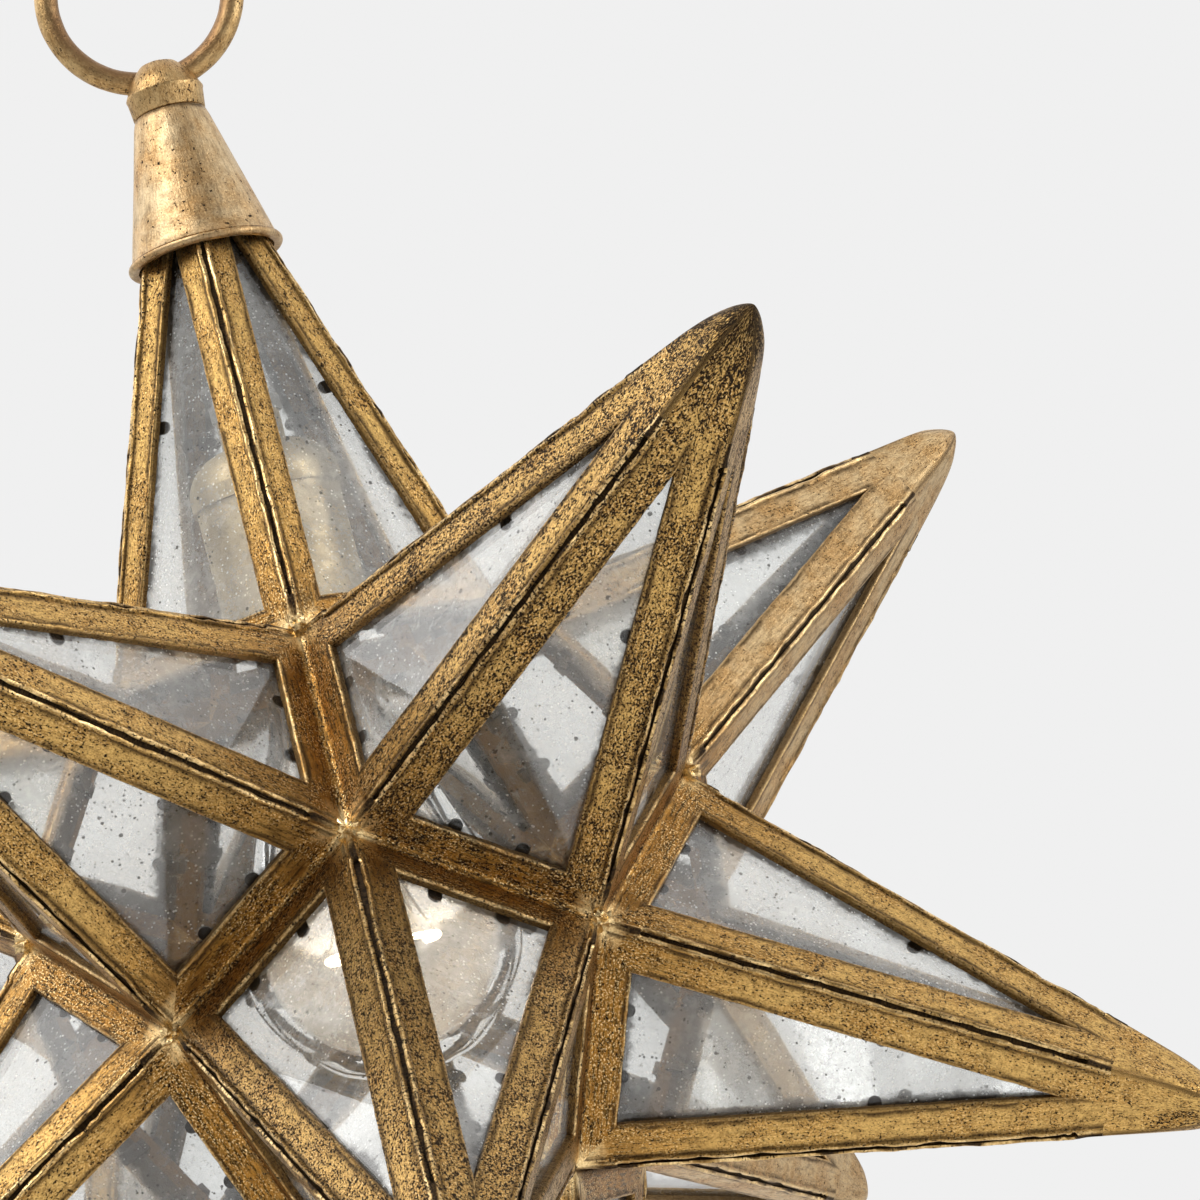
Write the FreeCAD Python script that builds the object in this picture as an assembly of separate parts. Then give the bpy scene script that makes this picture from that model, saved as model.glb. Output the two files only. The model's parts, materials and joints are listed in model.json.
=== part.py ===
"""Moravian star pendant: a twelve-pointed glazed star that hangs from a ring.

A regular dodecahedron carries a five-sided point on each of its faces.  Every
side of a point is its own flat metal frame round a pane of glass, brazed to its
neighbours along mitres that all run to the star's centre.  A solid rounded tip
closes each point.  The top point is cut short and carries the hardware: disc,
hollow threaded nipple, spun cap, hanging ring, and the lamp socket below.  The
bottom point is the door through which the lamp is changed.

The pieces are drawn about the star's centre, with +Z up and -Y the front, and
every node is then lowered so that the origin is the top of the ring's opening,
where a chain link or a hook bears.  Millimetres.
"""
import FreeCAD, Part
import math
import os

# ---------------------------------------------------------------- star ------
EDGE = 60.0                 # edge of the dodecahedron, where two points meet
POINT_HEIGHT = 154.0        # base of a point to where its sides would meet
SHEET = 2.0                 # thickness of the face frames
RIDGE_STRIP = 10.0          # frame width along the ridges of a point
BASE_STRIP = 8.2            # frame width along the base of a point
TOP_RIDGE_STRIP = 8.4       # the frames of the top point are a little narrower
CUT_OVER = 1.0              # how far cutting shapes run past what they cut

# ---------------------------------------------------------------- grooves ---
GROOVE_WIDTH = 1.7          # slot left between two frames along a ridge
GROOVE_DEPTH = 1.5
GROOVE_LOW_END = 10.0       # from the base corner to where the slot begins
GROOVE_HIGH_END = 6.0       # from the solid tip back to where the slot ends

# ---------------------------------------------------------------- tips ------
TIP_RADIUS = 13.92          # axis to ridge where a point's solid tip begins
TIP_LENGTH = 27.2           # from there to the nose
TIP_SHOULDER = 6.0          # straight part of the tip before it rounds off
SHOULDER_ALLOWANCE = 0.35   # rounding starts this far outside the ridges
NOSE_RADIUS = 1.6           # half width where the nose closes
NOSE_HEIGHT = 1.0
OGIVE_SWELL = 1.05          # how far the rounding bellies out from its chord

# ---------------------------------------------------------------- panes -----
PANE = 2.4                  # glass thickness
PANE_RIDGE_INSET = 6.5      # from a ridge to the hidden edge of the glass
PANE_BASE_INSET = 3.5       # from the base to the hidden edge of the glass
PANE_TOP_GAP = 6.0          # from the trimmed top of the glass to the tip

TAB_WIDTH = 3.2             # bent tabs that hold the glass from behind
TAB_THICKNESS = 0.7
TAB_FOOT = 1.8
TAB_CLEARANCE = 0.2         # between the foot and the edge of the glass
TAB_REACH = 1.6             # part of the tab that shows past the frame
BASE_TAB_FIRST = 8.0        # from the middle of the base to its two tabs
RIDGE_TAB_HEIGHT = 0.42     # place of the ridge tabs, as a share of the slope

# ---------------------------------------------------------------- top -------
CUT_RADIUS = 13.6           # axis to ridge where the top point is cut short
DISC_INSET = 1.1            # from the ridges in to the edge of the disc
DISC_THICKNESS = 3.0
NIPPLE_RADIUS = 5.0
NIPPLE_BORE = 3.2
THREAD_FIT = 0.05           # radial play of threads, drawn plain
NUT_FLATS = 14.0
NUT_HEIGHT = 4.0

CAP_SKIRT = 10.0            # from the cut down to the rim of the cap
CAP_LENGTH = 38.0
CAP_TOP_RADIUS = 9.0
CAP_WALL = 1.2
CAP_SEAT = 0.1              # play between the cap and the ridges it sits on
CAP_LIP = 1.1               # radius of the rolled rim

# ---------------------------------------------------------------- ring ------
RING_RADIUS = 23.0          # centre line of the ring
RING_ROD = 2.95             # radius of its rod
RING_RISE = 32.0            # cap top to the centre of the ring
NECK_FOOT_RADIUS = 9.0
NECK_BAND = 5.4             # height of the neck below the ring
NECK_BAND_RADIUS = 9.7
NECK_CROWN = 13.0           # height at which the neck dies into the ring
NECK_CROWN_RADIUS = 4.6
NECK_SWELL_RADIUS = 8.0     # half way up the flare
NECK_SWELL = 10.1
NECK_THREAD = 7.0           # depth of the nipple in the neck

# ---------------------------------------------------------------- lamp ------
BULB_RADIUS = 33.0
BULB_DROP = 3.0             # centre of the round part below the star's centre
BULB_GLASS = 0.8
BULB_TURN = 20.0            # degrees above the equator where the flank begins
FLANK_LENGTH = 36.0
BULB_NECK = 13.6
BULB_NECK_LENGTH = 13.0     # straight part below the lamp base
NECK_PULL = 0.3             # shares that set the curve from flank to neck
NECK_LIFT = 0.48
BASE_FOOT = 73.0            # height of the open end of the lamp base
BASE_LENGTH = 24.0
BASE_RADIUS = 13.1
BASE_WALL = 0.4
BASE_GRIP = 5.0             # length of glass neck inside the lamp base
INSULATOR_HEIGHT = 2.5
INSULATOR_RADIUS = 11.0
CONTACT_RADIUS = 4.5
CONTACT_HEIGHT = 1.0
STEM_RADIUS = 4.0
STEM_FOOT = 22.0
STEM_FLARE = 10.0
STEM_JOINT = 6.0            # where the flare is sealed into the bulb's neck
FILAMENT_RADIUS = 13.0      # radius of the ring that the filament follows
FILAMENT_WIRE = 0.45
FILAMENT_SPAN = 270.0       # degrees
FILAMENT_DROP = 5.0         # below the star's centre
SUPPORT_WIRE = 0.35
SUPPORT_COUNT = 5
SUPPORT_MARGIN = 2.0        # degrees that the end supports stand in
SUPPORT_ROOT = 0.8          # where a support leaves the stem, as shares of
SUPPORT_ROOT_DROP = 0.6     # the stem's radius out and down

# ---------------------------------------------------------------- socket ----
SCREW_SHELL_PLAY = 0.4
SCREW_SHELL_WALL = 0.5
SCREW_SHELL_FOOT = 3.0      # above the foot of the lamp base
SHELL_RADIUS = 17.0
SHELL_WALL = 0.7
LINER_WALL = 0.8
LINER_PLAY = 0.2
CORE_HEIGHT = 10.0
SOCKET_CAP_LAP = 4.0
SOCKET_CAP_HEIGHT = 9.0
SOCKET_CAP_WALL = 0.8
SOCKET_DOME_SWELL = 1.6     # how far the dome bulges from a straight cone
SOCKET_DOME_LIFT = 6.5
SOCKET_DOME_LEDGE = 1.0
SOCKET_HUB_RADIUS = 7.2
SOCKET_HUB_HEIGHT = 8.0
SPRING_CONTACT_RADIUS = 5.0
SPRING_CONTACT_GAUGE = 0.6
TERMINAL_HEAD = 3.0
TERMINAL_HEAD_HEIGHT = 2.0
TERMINAL_SHANK = 1.6
TERMINAL_SHANK_LENGTH = 5.0
TERMINAL_OFFSET = 10.0

# ---------------------------------------------------------------- door ------
DOOR_GAP = 0.3              # seam round the door, square to its mitres
BARREL_RADIUS = 2.2
PIN_RADIUS = 1.1
PIN_FIT = 0.05
PIN_HEAD_RADIUS = 1.7
PIN_HEAD_HEIGHT = 0.8
HINGE_LENGTH = 30.0
KNUCKLE_GAP = 0.3
LEAF_THICKNESS = 0.8
LEAF_END = 7.6              # from the valley line to the leaf's outer edge
LEAF_CLEARANCE = 0.4        # between a leaf and the other leaf's knuckle
CATCH_WIDTH = 5.0
CATCH_GAUGE = 0.6
CATCH_PLAY = 0.3
CATCH_LEG = 14.0            # length soldered to the body of the star
CATCH_LEG_START = 8.0
CATCH_TONGUE = 9.0          # length that bears on the inside of the door
CATCH_TONGUE_START = 3.0
CATCH_KNEE = 1.0            # how far the bend stands past the corner

# ------------------------------------------------------- worked-out sizes ---
SIDES = 5
GOLDEN = (1 + math.sqrt(5)) / 2
CORNER_RADIUS = EDGE / (2 * math.sin(math.pi / SIDES))
SIDE_RADIUS = EDGE / (2 * math.tan(math.pi / SIDES))
BASE_RISE = SIDE_RADIUS * GOLDEN                    # star's centre to a base
TILT = math.degrees(math.atan(2))                   # +Z to an upper point
FRONT = -90.0
SLOPE = math.hypot(POINT_HEIGHT, SIDE_RADIUS)                # height of a side
STEEPNESS = math.atan2(POINT_HEIGHT, SIDE_RADIUS)            # of a side
RIDGE_LENGTH = math.hypot(POINT_HEIGHT, CORNER_RADIUS)
TIP_START = POINT_HEIGHT * (1 - TIP_RADIUS / CORNER_RADIUS)  # heights above the base
TRUNCATION = POINT_HEIGHT * (1 - CUT_RADIUS / CORNER_RADIUS)
CAP_RIM_HEIGHT = TRUNCATION - CAP_SKIRT
DISC_RADIUS = CUT_RADIUS - DISC_INSET
NECK_START = BASE_FOOT - BULB_NECK_LENGTH
STEM_TOP = BASE_FOOT + BASE_GRIP - STEM_JOINT - STEM_FLARE

X = FreeCAD.Vector(1, 0, 0)
Y = FreeCAD.Vector(0, 1, 0)
Z = FreeCAD.Vector(0, 0, 1)
CENTRE = FreeCAD.Vector(0, 0, 0)


def hanging_height():
    """Height over the star's centre of the point that the pendant hangs from."""
    return cap_top() + RING_RISE + RING_RADIUS - RING_ROD


def export(name, pieces):
    """Write one node: a single solid, or a group of separate ones."""
    solids = [solid for piece in pieces for solid in piece.Solids]
    shape = solids[0] if len(solids) == 1 else Part.makeCompound(solids)
    shape.translate(Z * -hanging_height())
    shape.exportStep("parts/" + name + ".step")


def polar(radius, degrees, height):
    angle = math.radians(degrees)
    return FreeCAD.Vector(radius * math.cos(angle), radius * math.sin(angle), height)


def prism(points, direction):
    """The flat outline through the points, drawn along a vector."""
    return Part.Face(Part.makePolygon(points + points[:1])).extrude(direction)


def solid_of(loops):
    """A solid whose flat faces run through the given loops of points."""
    faces = [Part.Face(Part.makePolygon(loop + loop[:1])) for loop in loops]
    return Part.makeSolid(Part.makeShell(faces))


def revolve(edges):
    """Turn a closed outline, drawn in the XZ plane, about the Z axis."""
    return Part.Face(Part.Wire(edges)).revolve(CENTRE, Z, 360)


def outline(points):
    """Straight edges through (radius, height) pairs, closed."""
    corners = [FreeCAD.Vector(radius, 0, height) for radius, height in points]
    return Part.makePolygon(corners + corners[:1]).Edges


def path(*points):
    """Open straight edges through (radius, height) pairs."""
    corners = [FreeCAD.Vector(radius, 0, height) for radius, height in points]
    return Part.makePolygon(corners).Edges


def bend(start, middle, end):
    """An arc through three (radius, height) pairs."""
    points = [FreeCAD.Vector(radius, 0, height) for radius, height in (start, middle, end)]
    return Part.Arc(*points).toShape()


def tube(outer, inner, foot, height):
    solid = Part.makeCylinder(outer, height, Z * foot)
    return solid.cut(Part.makeCylinder(inner, height, Z * foot))


def ridge_radius(height):
    """Distance of a point's ridges from its axis at a height above its base."""
    return CORNER_RADIUS * (1 - height / POINT_HEIGHT)


# ---------------------------------------------------------------- a point ---
class Side:
    """One flat side of the point that stands on +Z.

    Places on it are given across (along its base), up (towards the apex) and
    out (square to it, outwards).
    """

    def __init__(self, index):
        turn = 360.0 / SIDES
        self.left = polar(CORNER_RADIUS, FRONT + turn * index, BASE_RISE)
        self.right = polar(CORNER_RADIUS, FRONT + turn * (index + 1), BASE_RISE)
        self.apex = FreeCAD.Vector(0, 0, BASE_RISE + POINT_HEIGHT)
        self.middle = (self.left + self.right) / 2
        self.across = (self.right - self.left).normalize()
        self.up = (self.apex - self.middle).normalize()
        self.out = self.across.cross(self.up)

    def at(self, across, up, out=0.0):
        return self.middle + self.across * across + self.up * up + self.out * out

    def inset(self, ridge, base):
        """Half width at a height, and top height, of the side's inset triangle."""
        lost = ridge * math.hypot(2 / EDGE, 1 / SLOPE)
        return (EDGE / 2) * (1 - lost - base / SLOPE), SLOPE * (1 - lost)

    def blank(self):
        """The sheet, with mitred edges that all point at the star's centre."""
        depth = self.middle.dot(self.out)
        shrink = 1 - SHEET / depth
        front = [self.left, self.right, self.apex]
        back = [corner * shrink for corner in front]
        loops = [front, back]
        for index in range(3):
            after = (index + 1) % 3
            loops.append([front[index], front[after], back[after], back[index]])
        return solid_of(loops)

    def window(self, ridge_strip):
        half, top = self.inset(ridge_strip, BASE_STRIP)
        corners = [self.at(across, up, CUT_OVER) for across, up in
                   ((-half, BASE_STRIP), (half, BASE_STRIP), (0, top))]
        return prism(corners, self.out * -(SHEET + 2 * CUT_OVER))

    def pane(self, top):
        """Glass behind the frame, its sharp top corner trimmed off level."""
        low = PANE_BASE_INSET
        half, peak = self.inset(PANE_RIDGE_INSET, low)
        cut = (top - PANE_TOP_GAP) / math.sin(STEEPNESS)
        half_cut = half * (peak - cut) / (peak - low)
        corners = [(-half, low), (half, low), (half_cut, cut), (-half_cut, cut)]
        face = [self.at(across, up, -SHEET) for across, up in corners]
        return prism(face, self.out * -PANE)

    def tab(self, place, along, inward, strip, glass):
        """A tab with its foot on the frame's back and its end over the glass."""
        heel = glass - TAB_CLEARANCE - TAB_FOOT
        step = glass - TAB_CLEARANCE
        end = strip + TAB_REACH
        shelf = -(SHEET + PANE)
        back = shelf - TAB_THICKNESS
        profile = [(heel, -SHEET), (step, -SHEET), (step, shelf), (end, shelf), (end, back), (heel, back)]
        corner = place - along * (TAB_WIDTH / 2)
        face = [corner + inward * way + self.out * out for way, out in profile]
        return prism(face, along * TAB_WIDTH)

    def tabs(self, ridge_strip):
        """Two tabs along the base of the pane and one beside each ridge."""
        made = []
        for across in (-BASE_TAB_FIRST, BASE_TAB_FIRST):
            made.append(self.tab(self.at(across, 0), self.across, self.up, BASE_STRIP, PANE_BASE_INSET))
        for corner in (self.left, self.right):
            along = (self.apex - corner).normalize()
            inward = self.out.cross(along)
            if inward.dot(self.middle - corner) < 0:
                inward = inward * -1
            place = corner + along * (RIDGE_LENGTH * RIDGE_TAB_HEIGHT)
            made.append(self.tab(place, along, inward, ridge_strip, PANE_RIDGE_INSET))
        return made


def groove(corner, top):
    """The round-ended slot along one ridge, up to the height of the tip."""
    apex = FreeCAD.Vector(0, 0, BASE_RISE + POINT_HEIGHT)
    along = (apex - corner).normalize()
    sideways = along.cross(Z).normalize()
    outward = sideways.cross(along)
    if outward.dot(corner) < 0:
        outward = outward * -1
    low = corner + along * GROOVE_LOW_END
    high = corner + along * (top * RIDGE_LENGTH / POINT_HEIGHT - GROOVE_HIGH_END)
    floor = outward * -GROOVE_DEPTH
    height = GROOVE_DEPTH + CUT_OVER
    half = sideways * (GROOVE_WIDTH / 2)
    slot = prism([low + half + floor, high + half + floor, high - half + floor, low - half + floor],
                 outward * height)
    for end in (low, high):
        slot = slot.fuse(Part.makeCylinder(GROOVE_WIDTH / 2, height, end + floor, outward))
    return slot


def above(height):
    """Everything above a height over the base of the point on +Z."""
    size = POINT_HEIGHT
    corner = FreeCAD.Vector(-size / 2, -size / 2, BASE_RISE + height)
    return Part.makeBox(size, size, size, corner)


def point_frames(sides, ridge_strip, top):
    """The five face frames of a point, cut level at the height of its top."""
    cutter = above(top)
    grooves = [groove(side.left, top) for side in sides]
    frames = []
    for index, side in enumerate(sides):
        frame = side.blank().cut(side.window(ridge_strip)).cut(cutter)
        frames.append(frame.cut(grooves[index]).cut(grooves[(index + 1) % SIDES]))
    return frames


def point_tip(sides):
    """The solid tip: the end of the five-sided point, rounded to a nose."""
    pyramid = solid_of([[s.left, s.right, s.apex] for s in sides] + [[s.left for s in sides]])
    foot = BASE_RISE + TIP_START
    peak = foot + TIP_LENGTH
    shoulder = (ridge_radius(TIP_START + TIP_SHOULDER) + SHOULDER_ALLOWANCE, foot + TIP_SHOULDER)
    nose = (NOSE_RADIUS, peak - NOSE_HEIGHT)
    belly = ((shoulder[0] + nose[0]) / 2 + OGIVE_SWELL, (shoulder[1] + nose[1]) / 2)
    ball = (NOSE_RADIUS ** 2 + NOSE_HEIGHT ** 2) / (2 * NOSE_HEIGHT)
    half = math.asin(NOSE_RADIUS / ball) / 2
    crown = (ball * math.sin(half), peak - ball + ball * math.cos(half))
    wide = (TIP_RADIUS + 2 * SHOULDER_ALLOWANCE, foot)
    bullet = revolve(path((0, peak), (0, foot), wide, shoulder)
                     + [bend(shoulder, belly, nose), bend(nose, crown, (0, peak))])
    return pyramid.common(bullet)


def place(shape, turns):
    """A copy of a shape, turned about the centre by (axis, degrees) in order."""
    copy = shape.copy()
    for axis, degrees in turns:
        copy.rotate(CENTRE, axis, degrees)
    return copy


def star():
    """All twelve points, glazed; the door is the point that hangs down."""
    sides = [Side(index) for index in range(SIDES)]
    turn = 360.0 / SIDES
    frames = point_frames(sides, RIDGE_STRIP, TIP_START) + [point_tip(sides)]
    panes = [side.pane(TIP_START) for side in sides]
    tabs = [tab for side in sides for tab in side.tabs(RIDGE_STRIP)]
    settings = {"upper": (turn / 4, TILT, FRONT - turn / 2), "lower": (-turn / 4, 180 - TILT, FRONT)}
    for row, (spin, tilt, start) in settings.items():
        row_tabs = []
        for index in range(SIDES):
            turns = [(Z, spin), (Y, tilt), (Z, start + turn * index)]
            number = str(index + 1)
            export(row + "_point_frame_" + number, [place(piece, turns) for piece in frames])
            export(row + "_point_glass_" + number, [place(pane, turns) for pane in panes])
            row_tabs += [place(tab, turns) for tab in tabs]
        export(row + "_pane_tabs", row_tabs)

    export("top_point_frame", point_frames(sides, TOP_RIDGE_STRIP, TRUNCATION))
    export("top_point_glass", [side.pane(TRUNCATION) for side in sides])
    export("top_pane_tabs", [tab for side in sides for tab in side.tabs(TOP_RIDGE_STRIP)])

    drop = door_drop()
    for name, pieces in (("frame", frames), ("glass", panes), ("pane_tabs", tabs)):
        hung = [place(piece, [(X, 180)]) for piece in pieces]
        for piece in hung:
            piece.translate(drop)
        export("door_" + name, hung)


# ---------------------------------------------------------------- door ------
def door_drop():
    """The door sits a little low, so that its mitres clear by DOOR_GAP."""
    mitre = math.atan2(SIDE_RADIUS, BASE_RISE)
    return Z * (-DOOR_GAP / math.sin(mitre))


def valley():
    """The valley at the hinge: each side's start, way up it and way out of it."""
    start = FreeCAD.Vector(0, -SIDE_RADIUS, -BASE_RISE)
    apex = Z * -(BASE_RISE + POINT_HEIGHT)
    body_apex = place_vector(Z * (BASE_RISE + POINT_HEIGHT), 180 - TILT)
    body_up = (body_apex - start).normalize()
    door_up = (apex - start).normalize()
    body_out = X.cross(body_up)
    door_out = door_up.cross(X)
    return (start, body_up, body_out), (start + door_drop(), door_up, door_out)


def place_vector(vector, tilt):
    """A vector on +Z tilted towards the front."""
    return FreeCAD.Rotation(X, tilt).multVec(vector)


def barrel_centre():
    """The hinge line, one barrel radius from both sides of the valley."""
    (start, body_up, body_out), (door_start, _, door_out) = valley()
    offset = BARREL_RADIUS - (start - door_start).dot(door_out) - BARREL_RADIUS * body_out.dot(door_out)
    return start + body_out * BARREL_RADIUS + body_up * (offset / body_up.dot(door_out))


def leaf(side, spans, play):
    """A hinge leaf with its knuckles over some spans, clear of the other leaf's.

    Its bore is wider than the pin by the play: none where the pin is fixed.
    """
    start, up, out = side
    centre = barrel_centre()
    near = (centre - start).dot(up)
    reach = math.sqrt(BARREL_RADIUS ** 2 - (BARREL_RADIUS - LEAF_THICKNESS) ** 2)
    clear = near + reach + LEAF_CLEARANCE

    def plate(low, high, first):
        corner = FreeCAD.Vector(low, start.y, start.z)
        outline_points = [corner + up * first, corner + up * LEAF_END,
                          corner + up * LEAF_END + out * LEAF_THICKNESS,
                          corner + up * first + out * LEAF_THICKNESS]
        return prism(outline_points, X * (high - low))

    solid = plate(-HINGE_LENGTH / 2, HINGE_LENGTH / 2, clear)
    for low, high in spans:
        solid = solid.fuse(plate(low, high, near))
        solid = solid.fuse(Part.makeCylinder(BARREL_RADIUS, high - low, centre + X * low, X))
    bore = Part.makeCylinder(PIN_RADIUS + play, HINGE_LENGTH, centre - X * (HINGE_LENGTH / 2), X)
    return solid.cut(bore).removeSplitter()


def hinge():
    body_side, door_side = valley()
    outer = HINGE_LENGTH / 2
    inner = outer / 3
    middle = (-inner, inner)
    ends = [(-outer, -inner - KNUCKLE_GAP), (inner + KNUCKLE_GAP, outer)]
    export("hinge_leaf_body", [leaf(body_side, ends, 0)])
    export("hinge_leaf_door", [leaf(door_side, [middle], PIN_FIT)])
    centre = barrel_centre()
    pin = Part.makeCylinder(PIN_RADIUS, HINGE_LENGTH, centre - X * outer, X)
    for way in (-1, 1):
        head = Part.makeCylinder(PIN_HEAD_RADIUS, PIN_HEAD_HEIGHT, centre + X * (outer * way), X * way)
        pin = pin.fuse(head)
    export("hinge_pin", [pin])


def catch_spring():
    """A bent leaf inside the body, opposite the hinge, that grips the door.

    Its leg lies along the seam from the door's rear corner to the next corner
    of the twelve-sided body; its tongue lies along the door's rear ridge.
    """
    corner = FreeCAD.Vector(0, CORNER_RADIUS, -BASE_RISE)
    side = Side(0)
    shrink = 1 - SHEET / side.middle.dot(side.out)
    seam_end = polar(CORNER_RADIUS * GOLDEN, 90, -BASE_RISE / GOLDEN ** 3)
    seam = (seam_end - corner).normalize()
    seam_in = X.cross(seam)
    if seam_in.dot(corner) > 0:
        seam_in = seam_in * -1
    ridge = (Z * -(BASE_RISE + POINT_HEIGHT) - corner).normalize()
    ridge_in = X.cross(ridge)
    if ridge_in.dot(corner) > 0:
        ridge_in = ridge_in * -1
    half_angle = math.acos(math.sin(math.pi / SIDES) * math.sin(STEEPNESS))
    depth = SHEET / math.sin(half_angle) + CATCH_WIDTH / 2 / math.tan(half_angle) + CATCH_PLAY
    foot = corner * shrink
    door_corner = corner + door_drop()
    spine = [foot + seam * (CATCH_LEG_START + CATCH_LEG),
             foot + seam * CATCH_LEG_START,
             foot + seam_in * (CATCH_WIDTH / 2) - seam * CATCH_KNEE,
             door_corner + ridge * CATCH_TONGUE_START + ridge_in * depth,
             door_corner + ridge * (CATCH_TONGUE_START + CATCH_TONGUE) + ridge_in * depth]
    thick = [seam_in, seam_in, (seam_in + ridge_in).normalize(), ridge_in, ridge_in]
    back = [point + way * CATCH_GAUGE for point, way in zip(spine, thick)]
    half = X * (CATCH_WIDTH / 2)
    loop = [point - half for point in spine + back[::-1]]
    export("door_catch_spring", [prism(loop, half * 2)])


# ---------------------------------------------------------------- top -------
def hex_nut(foot):
    corners = [polar(NUT_FLATS / math.sqrt(3), 60 * index, foot) for index in range(6)]
    nut = prism(corners, Z * NUT_HEIGHT)
    return nut.cut(Part.makeCylinder(NIPPLE_RADIUS, NUT_HEIGHT, Z * foot))


def cap_top():
    return BASE_RISE + CAP_RIM_HEIGHT + CAP_LENGTH


def top_hardware():
    cut = BASE_RISE + TRUNCATION
    export("top_disc", [tube(DISC_RADIUS, NIPPLE_RADIUS + THREAD_FIT, cut, DISC_THICKNESS)])
    hub = socket_top()
    nuts = [hex_nut(cut - NUT_HEIGHT), hex_nut(cut + DISC_THICKNESS), hex_nut(hub)]
    export("lock_nuts", nuts)
    foot = hub - SOCKET_HUB_HEIGHT / 2
    head = cap_top() + NECK_THREAD
    export("threaded_nipple", [tube(NIPPLE_RADIUS, NIPPLE_BORE, foot, head - foot)])
    export("spun_cap", [spun_cap()])
    export("hanging_ring", [hanging_ring()])


def spun_cap():
    """A cone with a flat crown and a rolled rim, hollow below."""
    rim = BASE_RISE + CAP_RIM_HEIGHT
    top = cap_top()
    inner = ridge_radius(CAP_RIM_HEIGHT) + CAP_SEAT
    outer = inner + CAP_WALL
    crown = CAP_TOP_RADIUS - CAP_WALL
    hole = NIPPLE_RADIUS + THREAD_FIT
    cone = revolve(outline([(inner, rim), (outer, rim), (CAP_TOP_RADIUS, top), (hole, top),
                            (hole, top - CAP_WALL), (crown, top - CAP_WALL)]))
    lip = Part.makeTorus(outer, CAP_LIP, Z * (rim + CAP_LIP))
    keep = tube(outer + 2 * CAP_LIP, inner, rim, 2 * CAP_LIP)
    return cone.fuse(lip.common(keep).cut(cone)).removeSplitter()


def hanging_ring():
    """A round ring on a short flared neck, bored for the nipple and the wires."""
    foot = cap_top()
    centre = foot + RING_RISE
    ring = Part.makeTorus(RING_RADIUS, RING_ROD, Z * centre, Y)
    band = (NECK_BAND_RADIUS, foot + NECK_BAND)
    crown = (NECK_CROWN_RADIUS, foot + NECK_CROWN)
    swell = (NECK_SWELL_RADIUS, foot + NECK_SWELL)
    neck = revolve(path(crown, (0, foot + NECK_CROWN), (0, foot), (NECK_FOOT_RADIUS, foot), band)
                   + [bend(band, swell, crown)])
    solid = ring.fuse(neck)
    solid = solid.cut(Part.makeCylinder(NIPPLE_RADIUS, NECK_THREAD, Z * foot))
    return solid.cut(Part.makeCylinder(NIPPLE_BORE, NECK_CROWN * 2, Z * foot))


# ---------------------------------------------------------------- socket ----
def lamp_top():
    """Height of the lamp's end contact, on which the socket's own contact bears."""
    return BASE_FOOT + BASE_LENGTH + INSULATOR_HEIGHT + CONTACT_HEIGHT


def core_foot():
    return lamp_top() + 2 * SPRING_CONTACT_GAUGE


def socket_top():
    """Height of the top of the socket's hub."""
    return core_foot() + CORE_HEIGHT + SOCKET_CAP_HEIGHT + SOCKET_HUB_HEIGHT


def socket():
    foot = BASE_FOOT + SCREW_SHELL_FOOT
    core = core_foot()
    head = core + CORE_HEIGHT
    inner = BASE_RADIUS + SCREW_SHELL_PLAY
    outer = inner + SCREW_SHELL_WALL
    throat = SPRING_CONTACT_RADIUS + SCREW_SHELL_PLAY
    shell = tube(outer, inner, foot, core - foot - SCREW_SHELL_WALL)
    flange = tube(outer, throat, core - SCREW_SHELL_WALL, SCREW_SHELL_WALL)
    export("socket_screw_shell", [shell.fuse(flange).removeSplitter()])

    plate = Part.makeCylinder(SPRING_CONTACT_RADIUS, SPRING_CONTACT_GAUGE, Z * lamp_top())
    post = Part.makeCylinder(TERMINAL_SHANK, SPRING_CONTACT_GAUGE, Z * (core - SPRING_CONTACT_GAUGE))
    export("socket_contact", [plate.fuse(post)])

    bore = SHELL_RADIUS - SHELL_WALL
    body = Part.makeCylinder(bore - LINER_PLAY, CORE_HEIGHT, Z * core)
    screws = []
    for way in (-1, 1):
        at = X * (TERMINAL_OFFSET * way)
        shank_foot = at + Z * (head - TERMINAL_SHANK_LENGTH)
        shank = Part.makeCylinder(TERMINAL_SHANK, TERMINAL_SHANK_LENGTH, shank_foot)
        body = body.cut(shank)
        screws.append(shank.fuse(Part.makeCylinder(TERMINAL_HEAD, TERMINAL_HEAD_HEIGHT, at + Z * head)))
    export("socket_core", [body])
    export("terminal_screws", screws)

    liner = bore - LINER_PLAY
    export("socket_liner", [tube(liner, liner - LINER_WALL, foot, core - foot)])
    export("socket_shell", [tube(SHELL_RADIUS, bore, foot, head - foot)])
    export("socket_cap", [socket_cap(head)])


def socket_cap(head):
    """The domed half of the socket, which laps the shell and screws to the nipple."""
    inner = SHELL_RADIUS + THREAD_FIT
    outer = inner + SOCKET_CAP_WALL
    skirt = head - SOCKET_CAP_LAP
    dome = head + SOCKET_CAP_HEIGHT
    hub = dome + SOCKET_HUB_HEIGHT
    hole = NIPPLE_RADIUS
    waist = (outer + SOCKET_HUB_RADIUS) / 2 + SOCKET_DOME_SWELL
    lift = head + SOCKET_DOME_LIFT
    ledge = hole + SOCKET_DOME_LEDGE
    profile = path((hole, dome - SOCKET_CAP_WALL), (hole, hub), (SOCKET_HUB_RADIUS, hub),
                   (SOCKET_HUB_RADIUS, dome))
    profile.append(bend((SOCKET_HUB_RADIUS, dome), (waist, lift), (outer, head)))
    profile += path((outer, head), (outer, skirt), (inner, skirt), (inner, head))
    under = dome - SOCKET_CAP_WALL
    profile.append(bend((inner, head), (waist - SOCKET_CAP_WALL, lift - SOCKET_CAP_WALL), (ledge, under)))
    profile += path((ledge, under), (hole, under))
    return revolve(profile)


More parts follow.
